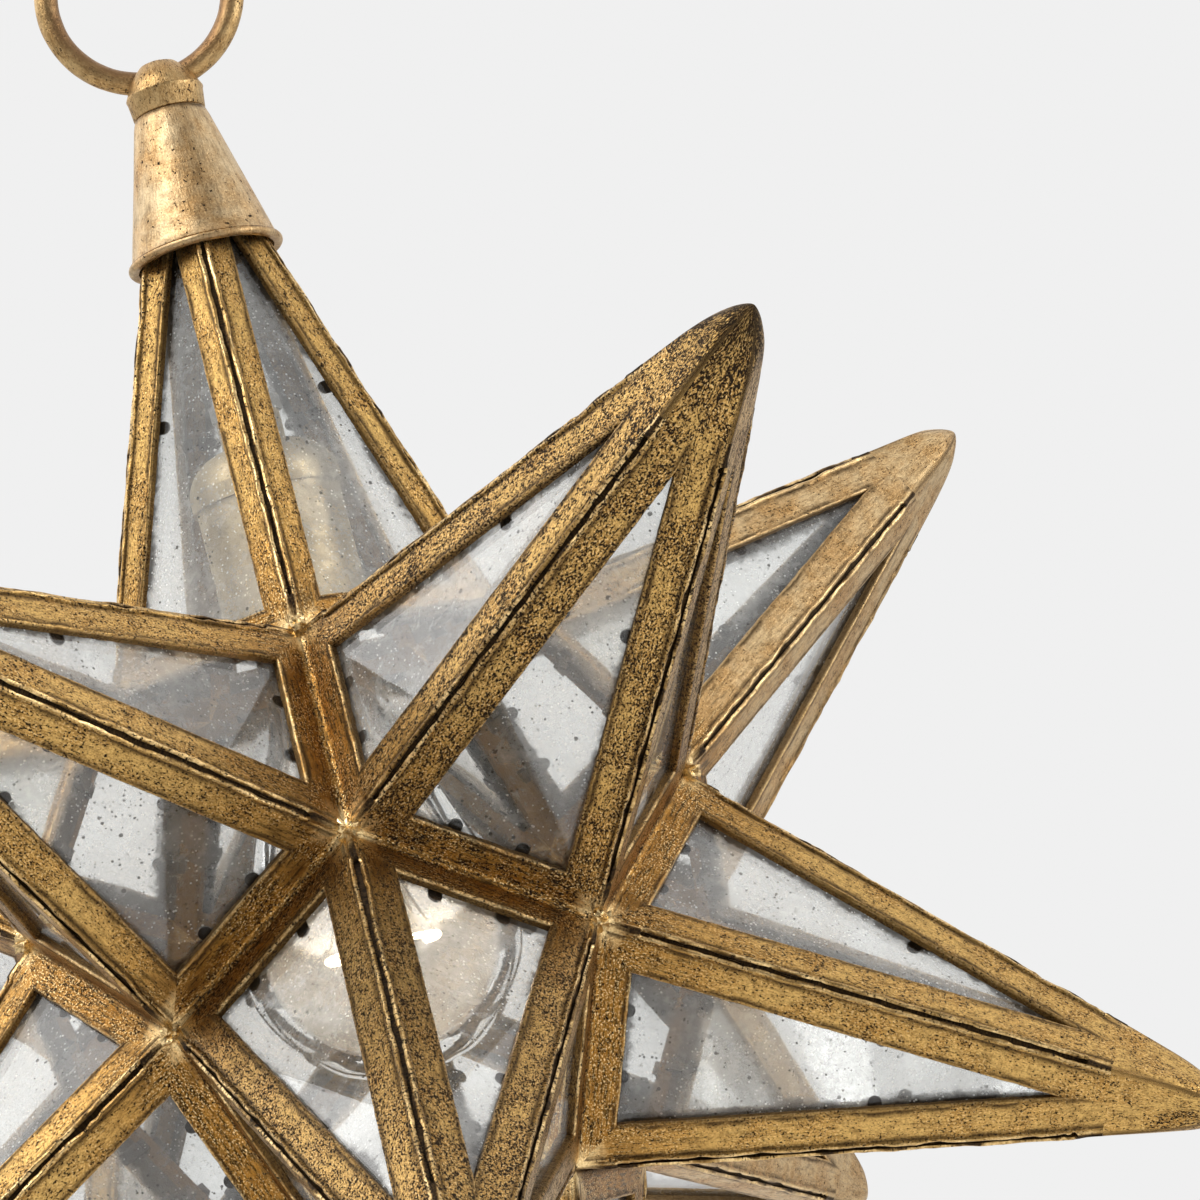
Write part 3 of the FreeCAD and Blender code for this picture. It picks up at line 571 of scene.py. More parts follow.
def solder_skin(star):
    """Lumps of solder where three points meet, clear of the door's corners."""
    shape = Shape(star)
    far, near = shape.corner_radius * GOLDEN, shape.rise / GOLDEN ** 3
    skin = Skin()
    for index in range(SIDES):
        turn = FRONT + TURN * index
        for place in (polar(shape.corner_radius, turn, shape.rise), polar(far, turn, near),
                      polar(far, turn + TURN / 2, -near)):
            out = place.normalized()
            upright = Vector((0, 0, 1)).rotation_difference(out)
            centre = place + out * star.joint * 0.25 + Vector((0, 0, STAR_CENTRE))
            made = []
            for low in steps(0.0, math.pi, LUMP_RINGS):
                line = []
                for step in range(LUMP_STEPS):
                    angle = 2 * math.pi * step / LUMP_STEPS
                    way = upright @ polar(math.sin(low), angle, math.cos(low))
                    lump = (0.80 + wander(0.6, *(place * 300 + way * 2.3))
                            + wander(0.25, *(way * 6 + place * 90)))
                    # Each lump takes the corners' painted highlight.
                    line.append(skin.corner(
                        centre + way * star.joint * lump, (way.x * 0.003, way.z * 0.003),
                        (0.35, FAR, FAR), (1.0, 0.0, index * 2.1)))
                made.append(line)
            skin.grid(made, ring=True)
    return skin


TIP_ROWS = 40
TIP_STEPS = SIDES * 16
RIDGE_POWER = 26.0              # how hard a tip's flats and its round nose are kept apart


def bullet_radius(star, shape, height):
    """Radius of the round nose at a height above the point's base."""
    start = shape.top + star.tip_shoulder
    shoulder = shape.corner_radius * (1 - start / shape.height) + 0.00035
    if height <= start:
        return shoulder + (start - height) * 0.45
    part = (height - start) / (star.tip_length - star.tip_shoulder)
    return shoulder * max(0.0, 1 - part) ** star.bluntness


def tip(skin, shape, star, strip_number):
    """The solid end of a point: flat sides that run out into a round nose."""
    foot, peak = shape.top, shape.top + star.tip_length
    made = []
    for row in range(TIP_ROWS + 1):
        height = blend(peak, foot, (1 - row / TIP_ROWS) ** 2)
        line = []
        inner = shape.side_radius * (1 - height / shape.height)
        nose = max(bullet_radius(star, shape, height), 1e-5)
        for step in range(TIP_STEPS + 1):
            angle = FRONT + TURN / 2 + 2 * math.pi * step / TIP_STEPS
            off = (step / TIP_STEPS * SIDES + 0.5) % 1 - 0.5
            flat = inner / math.cos(off * TURN) - 0.00022 * ease(0.40, 0.5, abs(off))
            radius = (flat ** -RIDGE_POWER + nose ** -RIDGE_POWER) ** (-1 / RIDGE_POWER)
            place = polar(radius, angle, shape.rise + height)
            uneven = wander(ease(foot, foot + 0.002, height),
                            *(place * 260 + Vector((0, 0, strip_number))))
            place += place.normalized() * 0.00011 * uneven
            ridge = (0.5 - abs(off)) * TURN * radius * MM
            line.append(skin.corner(
                place, (height / math.sin(shape.steep), off * TURN * 0.012),
                (20.0, ridge + 2.5, FAR),
                (100.0, height * MM, strip_number + round(step / TIP_STEPS * SIDES) * 0.7)))
        made.append(line)
    skin.grid(made)
    skin.face(made[0][-2::-1])


def metal_skin(star, seams=(), capped=False):
    """The metal of one point; seams lists the sides along the door's open seam."""
    shape = Shape(star, capped)
    skin = Skin()
    for index, side in enumerate(shape.sides):
        for hand in (-1, 1):
            ridge_strip(skin, side, hand, star, index * 2.3 + hand)
        base_strip(skin, side, index * 2.3 + 0.5, star, index in seams)
    if not capped:
        tip(skin, shape, star, 3.0)
    return skin


HAIR = 0.00002                  # keeps the glass off the frames
FILM_GAP = 0.00006              # and the film off the glass


def glass_skin(star, glazing, capped=False):
    """Five panes, each with a cloudy film on its inner face."""
    shape = Shape(star, capped)
    skin = Skin()
    low = glazing.base_inset
    lost = glazing.ridge_inset * math.hypot(2 / shape.edge, 1 / shape.slope)
    half = shape.edge / 2 * (1 - lost - low / shape.slope)
    peak = shape.slope * (1 - lost)
    cut = (shape.top - glazing.top_gap) / math.sin(shape.steep)
    half_cut = half * (peak - cut) / (peak - low)
    outline = [(-half, low), (half, low), (half_cut, cut), (-half_cut, cut)]

    def ring(side, out, strip_number):
        line = []
        for across, up in outline:
            reach = shape.edge / 2 * (1 - up / shape.slope)
            left, right = [(reach + way * across) * math.cos(shape.lean) * MM - shape.strip * MM
                           for way in (1, -1)]
            line.append(skin.corner(side.at(across, up, out), (across, up),
                                    (left, right, (up - shape.base) * MM),
                                    (0.0, up * MM, strip_number)))
        return line

    inner = -shape.sheet - glazing.pane
    for index, side in enumerate(shape.sides):
        strip_number = index * 1.7
        front = ring(side, -shape.sheet - HAIR, strip_number)
        back = ring(side, inner, strip_number)
        skin.face(front)
        skin.face(back[::-1])
        skin.grid([front, back], ring=True, flip=True)
        skin.face(ring(side, inner - FILM_GAP, strip_number + 9.0), slot=1)
    return skin


BURR = 0.0001                   # height of a tab's softened edge
BURR_INSET = 0.00012


def tab_plate(skin, points, high, low, place_at):
    """A flat part of a tab, its far edge softened."""
    middle = sum(way for way, _ in points) / len(points)
    rows = []
    for out, inset in ((high, 0.0), (low + BURR, 0.0), (low, BURR_INSET)):
        row = []
        for way, across in points:
            way += (middle - way) / abs(middle - way + 1e-9) * inset
            across -= math.copysign(min(inset, abs(across)), across)
            row.append(skin.corner(place_at(way, across, out), (way, across)))
        rows.append(row)
    skin.grid(rows, ring=True)
    skin.face(rows[0][::-1])
    skin.face(rows[-1])


def tab_skin(star, glazing, capped=False):
    """The bent tabs of one point, their free ends rounded."""
    shape = Shape(star, capped)
    skin = Skin()
    shelf = -(shape.sheet + glazing.pane)
    back = shelf - glazing.tab_gauge
    half = glazing.tab_width / 2

    def tab(side, place, along, inward, edge, inset):
        """Inset is how far in from the place the glass starts, under the frame."""
        step = inset - glazing.tab_clearance
        heel = step - glazing.tab_foot
        end = edge + glazing.tab_reach - half
        free_end = [(end + half * math.sin(turn), half * math.cos(turn))
                    for turn in steps(0.0, math.pi, 8)]

        def place_at(way, across, out):
            return place + inward * way + along * across + side.out * out

        tab_plate(skin, [(heel, -half), (heel, half), (step, half), (step, -half)],
                  -shape.sheet, back, place_at)
        tab_plate(skin, [(step, -half), (step, half)] + free_end, shelf, back, place_at)

    up_ridge = math.hypot(shape.height, shape.corner_radius) * glazing.tab_height
    for side in shape.sides:
        for across in (-glazing.tab_first, glazing.tab_first):
            tab(side, side.at(across, 0), side.across, side.up, shape.base, glazing.base_inset)
        for hand in (-1, 1):
            place = side.beside(hand, up_ridge, 0)
            inward = (side.beside(hand, up_ridge, 0.001) - place).normalized()
            tab(side, place, inward.cross(side.out).normalized(), inward, shape.strip,
                glazing.ridge_inset)
    return skin


def seats():
    """Where each point but the door and the top one stands: (row, number, matrix)."""
    tilt = math.atan(2)
    for row, spin, lean, start in (("upper", TURN / 4, tilt, FRONT - TURN / 2),
                                   ("lower", -TURN / 4, math.pi - tilt, FRONT)):
        for index in range(SIDES):
            yield row, index + 1, (CENTRE @ Matrix.Rotation(start + TURN * index, 4, "Z")
                                   @ Matrix.Rotation(lean, 4, "Y")
                                   @ Matrix.Rotation(spin, 4, "Z"))


def door_seat(star):
    """The door's point hangs lower than a usual one, by the seam round it."""
    shape = Shape(star)
    mitre = math.atan2(shape.side_radius, shape.rise)
    drop = -star.door_gap / math.sin(mitre)
    return Matrix.Translation((0, 0, STAR_CENTRE + drop)) @ Matrix.Rotation(math.pi, 4, "X")


# ---------------------------------------------------------------- lathes ----
def lathe(skin, profile, segments, seat=Matrix.Identity(4), strip_number=0.0, wobble=0.0,
          rims=None):
    """Turn (radius, height) pairs about the seat's Z axis."""
    made = []
    run = 0.0
    for index, (radius, height) in enumerate(profile):
        if index:
            run += math.dist(profile[index - 1], profile[index])
        line = []
        for step in range(segments + 1):
            angle = 2 * math.pi * step / segments
            away = radius + wander(wobble, math.cos(angle) * 2, math.sin(angle) * 2, height * 60)
            line.append(skin.corner(seat @ polar(away, angle, height), (run, angle * 0.012),
                                    rims[index] if rims else NO_RIM, (100.0, 0.0, strip_number)))
        made.append(line)
    skin.grid(made, flip=True)


def arc(centre, radius, start, stop, count):
    """(radius, height) pairs on an arc, angles in degrees from straight out."""
    turns = [math.radians(angle) for angle in steps(start, stop, count)]
    return [(centre[0] + radius * math.cos(turn), centre[1] + radius * math.sin(turn))
            for turn in turns]


def line_to(start, stop, count):
    """(radius, height) pairs on a straight line, without its start."""
    return [(blend(start[0], stop[0], part), blend(start[1], stop[1], part))
            for part in steps(0.0, 1.0, count)[1:]]


def cap_height(star, hardware):
    """Height of the cap's rim over the hanging frame's origin."""
    shape = Shape(star, capped=True)
    return STAR_CENTRE + shape.rise + shape.top - hardware.skirt


CROWN_ROUND = 0.0007            # radius of the cap's upper edge
BORE_EASE = 0.0002              # softened edge of its bore
# Painted shade darkens the lip's upper crease between these heights.
LIP_SHADE = (1.7, 2.3)           # where the lip's upper crease is dark, in mm over the rim


def cap_skin(star, hardware):
    """The cone over the cut top point, with a rolled rim and a bored crown."""
    shape = Shape(star, capped=True)
    rim = cap_height(star, hardware)
    top = rim + hardware.cap_length
    seat = shape.corner_radius * (1 - (shape.top - hardware.skirt) / shape.height) + 0.0001
    outer = seat + hardware.cap_wall
    lip, crown, bore = hardware.cap_lip, hardware.cap_top, hardware.bore
    slope = math.degrees(math.atan2(hardware.cap_length, outer - crown))
    profile = [(seat, rim + 0.0002)]
    profile += arc((outer, rim + lip), lip, -100, 62, 12)
    profile += [(outer - 0.00005, rim + 2 * lip + 0.0002)]
    profile += line_to((outer, rim + 2 * lip), (crown, top), 16)[:-1]
    profile += arc((crown - CROWN_ROUND, top - CROWN_ROUND), CROWN_ROUND, 108 - slope, 90, 4)
    profile += [(bore + 0.0008, top), (bore, top - BORE_EASE), (bore, top - 0.0012),
                (crown - hardware.cap_wall, top - hardware.cap_wall), profile[0]]
    rims = []
    for _, height in profile:
        low, high = max(0.0, height - rim) * MM, (top - height) * MM
        lip_shaded = LIP_SHADE[0] < low < LIP_SHADE[1]
        # Painted highlight broken along the crown's edge; painted shade and warm gold in the lip
        # crease.
        rims.append((min(FAR, high + 0.4), FAR, 0.7 if lip_shaded else FAR))
    skin = Skin()
    lathe(skin, profile, 120, strip_number=5.0, wobble=0.00012, rims=rims)
    return skin


RING_STEPS, ROD_STEPS = 150, 36
NECK_STEPS = 12
NECK_SWELL = 0.00085            # how far the flared neck bellies out


def ring_skin(star, hardware):
    """The hanging ring, drawn with the flared neck that it grows out of."""
    foot = cap_height(star, hardware) + hardware.cap_length
    centre = Vector((0, 0, foot + hardware.ring_rise))
    skin = Skin()
    made = []
    for step in range(RING_STEPS + 1):
        turn = 2 * math.pi * step / RING_STEPS - math.pi / 2
        axis = Vector((math.cos(turn), 0, math.sin(turn)))
        line = []
        for part in range(ROD_STEPS + 1):
            angle = 2 * math.pi * part / ROD_STEPS
            uneven = noise.noise(axis * 5 + Vector((0, math.sin(angle), 0))) - 0.5
            rod = hardware.ring_rod + 0.00007 * uneven
            place = centre + axis * (hardware.ring_radius + rod * math.cos(angle))
            place.y += rod * math.sin(angle)
            inner = 0.5 - 0.5 * math.cos(angle)
            line.append(skin.corner(place, (turn * hardware.ring_radius, angle * rod),
                                    NO_RIM, (100.0, inner * 100, 7.0)))
        made.append(line)
    skin.grid(made)
    band, crown = foot + hardware.band_height, foot + hardware.neck_crown
    wide, narrow, bore = hardware.neck_band, hardware.crown_radius, hardware.wire_bore
    profile = [(bore, foot + 0.0004), (hardware.neck_foot - 0.0003, foot),
               (hardware.neck_foot, foot + 0.0003), (wide - 0.0002, band - 0.0005),
               (wide, band), (wide - 0.0002, band + 0.0005)]
    for part in steps(0.0, 1.0, NECK_STEPS)[1:]:
        swell = math.sin(math.pi * part) * NECK_SWELL
        profile.append((blend(wide - 0.0003, narrow, part ** 0.92) + swell,
                        blend(band + 0.0006, crown, part)))
    profile += [(narrow * 0.6, crown + 0.0005), (bore, crown + 0.0005), profile[0]]
    lathe(skin, profile, 72, strip_number=8.0, wobble=0.00010)
    return skin


# -------------------------------------------------------------- the lamp ----
FLANK_LEAN = 20                 # degrees between the lamp's axis and its flank
POLE = 1e-5                     # radius of the small hole left at a lathe's pole
HOOP_SWEEP = math.radians(270)
COIL_STEPS = 10                 # places along each turn of the coil


def bulb_profile(lamp, inset):
    points = arc((0.0, -lamp.drop), lamp.bulb - inset, -90, FLANK_LEAN, 30)
    turn = math.radians(FLANK_LEAN)
    flank = points[-1]
    shoulder = (flank[0] - lamp.flank * math.sin(turn), flank[1] + lamp.flank * math.cos(turn))
    neck = lamp.neck - inset
    points += line_to(flank, shoulder, 6)
    for part in steps(0.0, 1.0, 8)[1:]:
        points.append((blend(shoulder[0], neck, 1 - (1 - part) ** 1.9),
                       blend(shoulder[1], lamp.neck_start, part)))
    points.append((neck, lamp.neck_stop))
    points[0] = (POLE, points[0][1])
    return points


def bulb_skin(lamp):
    """The lamp's glass, outer and inner face."""
    skin = Skin()
    lathe(skin, bulb_profile(lamp, 0.0), 96, CENTRE)
    lathe(skin, bulb_profile(lamp, lamp.wall)[::-1], 96, CENTRE)
    return skin


def filament_skin(lamp):
    """A fine coil that follows most of a hoop."""
    skin = Skin()
    low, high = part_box("filament")
    centre = Vector((0, 0, (low.z + high.z) / 2))
    radius = lamp.hoop - lamp.coil - lamp.coil_wire
    count = lamp.turns * COIL_STEPS
    made = []

    def spine(part):
        angle = FRONT - HOOP_SWEEP / 2 + HOOP_SWEEP * part
        turn = 2 * math.pi * lamp.turns * part
        out = radius + lamp.coil * math.cos(turn)
        return centre + polar(out, angle, lamp.coil * math.sin(turn))

    for step in range(count + 1):
        here = spine(step / count)
        way = (spine((step + 1) / count) - spine((step - 1) / count)).normalized()
        side = way.cross(Vector((0, 0, 1))).normalized()
        over = side.cross(way)
        made.append([skin.corner(here + (side * math.cos(turn) + over * math.sin(turn))
                                 * lamp.coil_wire)
                     for turn in (0, math.pi / 2, math.pi, 3 * math.pi / 2)])
    skin.grid(made, ring=True)
    skin.face(made[0][::-1])
    skin.face(made[-1])
    return skin


# ------------------------------------------------------------ node wiring ---
class Value:
    """A shader node's output that takes part in sums and comparisons.

    a | b takes the larger of two masks and a & b the smaller.
    """

    def __init__(self, make, socket):
        self.make = make
        self.socket = socket

    def __add__(self, other):
        return self.make.math("ADD", self, other)

    def __sub__(self, other):
        return self.make.math("SUBTRACT", self, other)

    def __rsub__(self, other):
        return self.make.math("SUBTRACT", other, self)

    def __mul__(self, other):
        return self.make.math("MULTIPLY", self, other)

    def __rtruediv__(self, other):
        return self.make.math("DIVIDE", other, self)

    def __or__(self, other):
        return self.make.math("MAXIMUM", self, other)

    def __and__(self, other):
        return self.make.math("MINIMUM", self, other)

    def __gt__(self, other):
        return self.make.math("GREATER_THAN", self, other)

    def __lt__(self, other):
        return self.make.math("LESS_THAN", self, other)

    def fit(self, low, high, to_low=0.0, to_high=1.0, **settings):
        """From low to high becomes from to_low to to_high, and stays within them."""
        return self.make.value("MapRange", (self, low, high, to_low, to_high), clamp=True,
                               **settings)


class Nodes:
    """Wires a node tree."""

    def __init__(self, tree):
        self.tree = tree

    def plug(self, value, socket):
        """Link a value into a socket, or set it there."""
        value = getattr(value, "socket", value)
        if isinstance(value, bpy.types.NodeSocket):
            self.tree.links.new(value, socket)
        elif value is not None:
            socket.default_value = value

    def add(self, kind, inputs=(), **settings):
        node = self.tree.nodes.new("ShaderNode" + kind)
        for key, value in settings.items():
            setattr(node, key, value)
        for key, value in inputs.items() if isinstance(inputs, dict) else enumerate(inputs):
            self.plug(value, node.inputs[key])
        return node

    def value(self, kind, inputs=(), output=0, **settings):
        return Value(self, self.add(kind, inputs, **settings).outputs[output])

    def values(self, sockets):
        """Named outputs, by name."""
        return {socket.name: Value(self, socket) for socket in sockets if socket.name}

    def math(self, operation, *values):
        return self.value("Math", values, operation=operation)

    def split(self, vector):
        return [Value(self, part) for part in self.add("SeparateXYZ", (vector,)).outputs]

    def join(self, *parts):
        return self.value("CombineXYZ", parts)

    def scaled(self, vector, factors):
        return self.value("VectorMath", (vector, factors), operation="MULTIPLY")

    def between(self, kind, amount, first, second):
        """A colour or a number between two others."""
        node = self.tree.nodes.new("ShaderNodeMix")
        node.data_type = {"Color": "RGBA", "Float": "FLOAT"}[kind]
        ends = {"Factor_Float": amount, "A_" + kind: first, "B_" + kind: second}
        for socket in node.inputs:
            self.plug(ends.get(socket.identifier), socket)
        return Value(self, next(socket for socket in node.outputs
                                if socket.identifier == "Result_" + kind))

    def mix(self, amount, first, second):
        return self.between("Color", amount, first, second)

    def blend(self, amount, first, second):
        return self.between("Float", amount, first, second)

    def use(self, tree, **inputs):
        """A node group in use; returns its outputs."""
        node = self.add("Group", {key.replace("_", " "): value for key, value in inputs.items()},
                        node_tree=tree)
        return self.values(node.outputs)

    def noise(self, vector, scale, detail=2.0, roughness=0.55):
        return self.value("TexNoise", {"Vector": vector, "Scale": scale, "Detail": detail,
                                       "Roughness": roughness})

    def place(self):
        return self.value("TexCoord", output="Object")

    def grain(self):
        """Along and across the metal or the pane."""
        return self.value("UVMap", uv_map="grain")

    def facts(self):
        """The rim and spot that Skin wrote, and the grain with its strip's number."""
        rim, spot = [self.value("Attribute", output="Vector", attribute_name=name)
                     for name in ("rim", "spot")]
        along, across, _ = self.split(self.grain())
        return rim, spot, self.join(along, across, self.split(spot)[2])


def shared_group(name, inputs, outputs):
    """Make a wiring function into one that gives its node group, wired only once."""
    def decorate(wire):
        def fetch():
            if name in bpy.data.node_groups:
                return bpy.data.node_groups[name]
            tree = bpy.data.node_groups.new(name, "ShaderNodeTree")
            for label, (kind, default) in inputs.items():
                socket = tree.interface.new_socket(name=label, in_out="INPUT",
                                                   socket_type="NodeSocket" + kind)
                if default is not None:
                    socket.default_value = default
            for label, kind in outputs.items():
                tree.interface.new_socket(name=label, in_out="OUTPUT",
                                          socket_type="NodeSocket" + kind)
            make = Nodes(tree)
            results = wire(make, make.values(tree.nodes.new("NodeGroupInput").outputs))
            end = tree.nodes.new("NodeGroupOutput")
            for label, value in zip(outputs, results, strict=True):
                make.plug(value, end.inputs[label])
            return tree
        return fetch
    return decorate


MASK = ("Float", 0.0)
MIDDLE = ("Float", 0.5)
PLACE = ("Vector", None)
TONE = ("Color", None)
PATCH_NOISE = (95.0, 4.0, 0.62)


@shared_group("Pitted Grain",
              {"Vector": PLACE, "Pit Size": ("Float", 0.0006), "Stretch": ("Float", 1.35),
               "Cover": ("Float", 0.3)},
              {"Pits": "Float", "Glaze": "Float", "Streaks": "Float", "Patches": "Float",
               "Grain": "Float"})
def pitted_grain(make, given):
    """Pits, glazes, streaks and fine grain, a little longer along the metal."""
    place = given["Vector"]
    vector = make.scaled(place, make.join(1.0 / given["Stretch"], 1.0, 1.0))
    scale = 1.0 / given["Pit Size"]
    fine = make.noise(vector, scale, 3.0, 0.62)
    coarse = make.noise(vector, scale * 0.33, 3.0, 0.6)
    patches = make.noise(place, *PATCH_NOISE)
    lift = (patches - 0.5) * 0.20
    level = fine * 0.84 + coarse * 0.16 + lift
    edge = 0.655 - given["Cover"] * 0.31
    pits = level.fit(edge, edge + 0.022, interpolation_type="SMOOTHSTEP")
    glaze = (coarse + lift).fit(0.44, 0.64)
    streaks = make.noise(make.scaled(place, (0.13, 1.0, 1.0)), 1300.0, 3.0, 0.65)
    grain = make.noise(vector, 2300.0, 3.0, 0.65)
    return pits, glaze, streaks, patches, grain


@shared_group("Metal Places",
              {"Rim": PLACE, "Spot": PLACE, "Noise": MIDDLE, "Age": MIDDLE},
              {"Rubbed": "Float", "Sooty": "Float", "Smoked": "Float", "Warm": "Float",
               "Cover": "Float"})
def metal_places(make, given):
    """Masks: worn edges and painted highlights, painted shade, painted valley bounce, dark
    noses.

    Rim and spot hold distances in millimetres, so the numbers below are too.
    """
    to_window, to_ridge, to_valley = make.split(given["Rim"])
    to_joint, height, _ = make.split(given["Spot"])
    cloud, age = given["Noise"], given["Age"]
    ripple = (cloud - 0.5) * 2.2
    window = to_window + ripple
    ridge = to_ridge + ripple * 0.35
    on_base = to_valley.fit(12.0, 13.0, 1.0, 0.0)

    # Worn edges and painted highlights: window edges, beads and the corners where points meet.
    at_window = window.fit(0.05, 0.55, 1.0, 0.0) * window.fit(-0.6, -0.1)
    at_window = at_window * make.blend(on_base, 0.35, 0.75) * cloud.fit(0.40, 0.60, 0.15, 1.0)
    at_bead = ridge.fit(0.7, 1.0) * ridge.fit(1.2, 1.7, 1.0, 0.0)
    at_bead = at_bead * cloud.fit(0.42, 0.6, 0.1, 0.75)
    round_joint = to_joint + ripple * 5.0
    joint = round_joint.fit(1.5, 7.0, 1.0, 0.0)
    rubbed_highlight = at_window | at_bead | joint * 0.95

    # Painted shade in the slot, bead crease, valley seam, behind the window edge and beside it.
    slot = ridge.fit(0.50, 0.92, 1.0, 0.0)
    crease = ridge.fit(1.7, 2.1) * ridge.fit(2.2, 3.2, 1.0, 0.0)
    crease = crease * cloud.fit(0.6, 0.45, 0.15, 1.0)
    seam = (to_valley + ripple * 1.2).fit(0.3, 2.4, 1.0, 0.0)
    wall = to_window.fit(-0.6, -0.05, 1.0, 0.0)
    brink = window.fit(0.35, 0.7) * window.fit(0.8, 1.7, 1.0, 0.0)
    brink = brink * cloud.fit(0.58, 0.44, 0.2, 0.8)
    clear = 1.0 - joint * 0.85
    painted_shade = slot * clear | crease * 0.75 | seam * 0.75 * clear | wall * 0.55 | brink

    round_it = round_joint.fit(4.0, 8.0) * round_joint.fit(10.0, 20.0, 1.0, 0.0)
    smoked = window.fit(0.4, 2.6, 1.0, 0.0) | ridge.fit(1.6, 4.0, 1.0, 0.0) | round_it
    smoked = smoked * cloud.fit(0.34, 0.60, 1.0, 0.30)
    # Warm valleys: a streaky deeper gold, partly painted bounce light from the gold around.
    warm = on_base | to_joint.fit(6.0, 38.0, 1.0, 0.0) * 0.9
    nose = (height + ripple * 14.0).fit(118.0, 140.0) * age.fit(0.2, 1.0, 0.15, 1.0)
    cover = age.fit(0.05, 0.95, 0.09, 0.45) * (1.0 - warm * 0.15) + nose * 0.30 - rubbed_highlight * 0.18
    return rubbed_highlight, painted_shade, smoked, warm, cover


@shared_group("Old Gilding",
              {"Pits": MASK, "Glaze": MASK, "Streaks": MIDDLE, "Patches": MIDDLE,
               "Grain": MIDDLE, "Rubbed": MASK, "Sooty": MASK, "Smoked": MASK, "Warm": MASK,
               "Age": MIDDLE, "Leaf": TONE, "Champagne": TONE, "Brushed": TONE,
               "Burnished": TONE, "Umber": TONE, "Glaze Tint": TONE},
              {"Colour": "Color", "Roughness": "Float", "Metal": "Float", "Height": "Float"})
def old_gilding(make, given):
    """Colour, roughness, metal share and height of old gilding; its colour holds painted light.
    """
    pits, streaks, patches, grain = [given[name]
                                     for name in ("Pits", "Streaks", "Patches", "Grain")]
    rubbed_highlight, painted_shade, warm, age = [given[name] for name in ("Rubbed", "Sooty", "Warm", "Age")]
    glaze_tint = given["Glaze Tint"]
    # Deeper gold in the valleys: partly a streaky finish, partly painted bounce light.
    brushed_and_bounce = warm * streaks.fit(0.3, 0.6, 0.6, 1.0)
    tone = make.mix(age.fit(0.1, 0.5), given["Champagne"], given["Leaf"])
    tone = make.mix(brushed_and_bounce, tone, given["Brushed"])
    tone = make.mix(patches.fit(0.40, 0.66, 0.0, 0.6), tone, given["Brushed"])
    shade = given["Glaze"] * age.fit(0.0, 1.0, 0.35, 0.60)
    tone = make.mix(shade, tone, glaze_tint)
    crazed = age.fit(0.2, 0.9, 0.25, 0.62)
    tone = make.mix(grain.fit(0.53, 0.40) * crazed, tone, glaze_tint)
    tone = make.mix(given["Smoked"] * age.fit(0.1, 0.6, 0.35, 0.62), tone, glaze_tint)
    drawn = streaks.fit(0.50, 0.40) * warm.fit(0.1, 1.0, 0.25, 0.75)
    tone = make.mix(drawn, tone, given["Umber"])
    # Painted glints: bright gold specks where the fine grain and patches peak.
    painted_glints = grain.fit(0.54, 0.62) * patches.fit(0.38, 0.55) * (warm | crazed)
    tone = make.mix(painted_glints, tone, given["Burnished"])
    # Painted highlight of bright gold on worn edges, beads and corners.
    tone = make.mix(rubbed_highlight * grain.fit(0.32, 0.55, 0.35, 1.0), tone, given["Burnished"])
    # Pits, and painted shade in slots, creases, valleys and behind window edges.
    dark = pits * 0.96 | painted_shade * grain.fit(0.35, 0.6, 1.0, 0.75)
    tone = make.mix(painted_shade * 0.7, tone, glaze_tint)
    tone = make.mix(dark, tone, given["Umber"])

    unworn = age.fit(0.1, 0.6, 0.46, 0.33)
    rough = make.blend(dark, make.blend(rubbed_highlight, unworn, 0.25), 0.6)
    rough = rough + shade * 0.14 + (streaks - 0.5) * 0.2
    metal = make.blend(dark, 1.0, 0.2)
    height = grain * 0.5 - pits + streaks * 0.4 + patches * 2.2
    return tone, rough, metal, height


def dots(make, vector, scale, size, chosen_share, channel):
    """Round specks in a share of the cells, some smaller than others."""
    cells = make.add("TexVoronoi", {"Vector": vector, "Scale": scale}).outputs
    chosen = make.split(cells["Color"])[channel]
    sized = chosen.fit(1.0 - chosen_share, 1.0, size * 0.4, size)
    return (Value(make, cells["Distance"]) < sized) * (chosen > 1.0 - chosen_share)


@shared_group("Antiqued Haze",
              {"Vector": PLACE, "Rim": PLACE, "Haze": TONE, "Tarnish": TONE},
              {"Colour": "Color", "Cover": "Float", "Roughness": "Float"})
def antiqued_haze(make, given):
    """Cloudy film, dark edges and specks of old glass."""
    place = given["Vector"]
    left, right, low = make.split(given["Rim"])
    clouds = make.noise(place, 38.0, 5.0, 0.66)
    mottle = make.noise(place, 380.0, 4.0, 0.7)
    ragged = (left & right & low) - clouds.fit(0.38, 0.72, -1.9, 2.0) + (mottle - 0.5) * 5.0
    edge = ragged.fit(-0.6, 2.2, 1.0, 0.0, interpolation_type="SMOOTHSTEP")
    flocks = make.noise(place, 75.0, 2.0, 0.5)
    black = dots(make, place, 400.0, 0.24, 0.14, 0) | dots(make, place, 1100.0, 0.38, 0.20, 1)
    black = black * (flocks > 0.5)
    white = dots(make, place, 480.0, 0.18, 0.13, 1) | dots(make, place, 1200.0, 0.34, 0.16, 2)
    white = white * (flocks < 0.54)
    dark = edge | black | clouds.fit(0.58, 0.8, 0.0, 0.4)
    tone = make.mix(dark, given["Haze"], given["Tarnish"])
    tone = make.mix(white * 0.8, tone, (0.9, 0.9, 0.88, 1.0))
    cover = clouds.fit(0.32, 0.72, 0.09, 0.46) + mottle.fit(0.48, 0.75) * 0.20
    cover = cover | edge * 0.88 | white * 0.7 | black * 0.95
    return tone, cover, mottle.fit(0.3, 0.7, 0.42, 0.6)


BLACK = (0.0, 0.0, 0.0, 1.0)


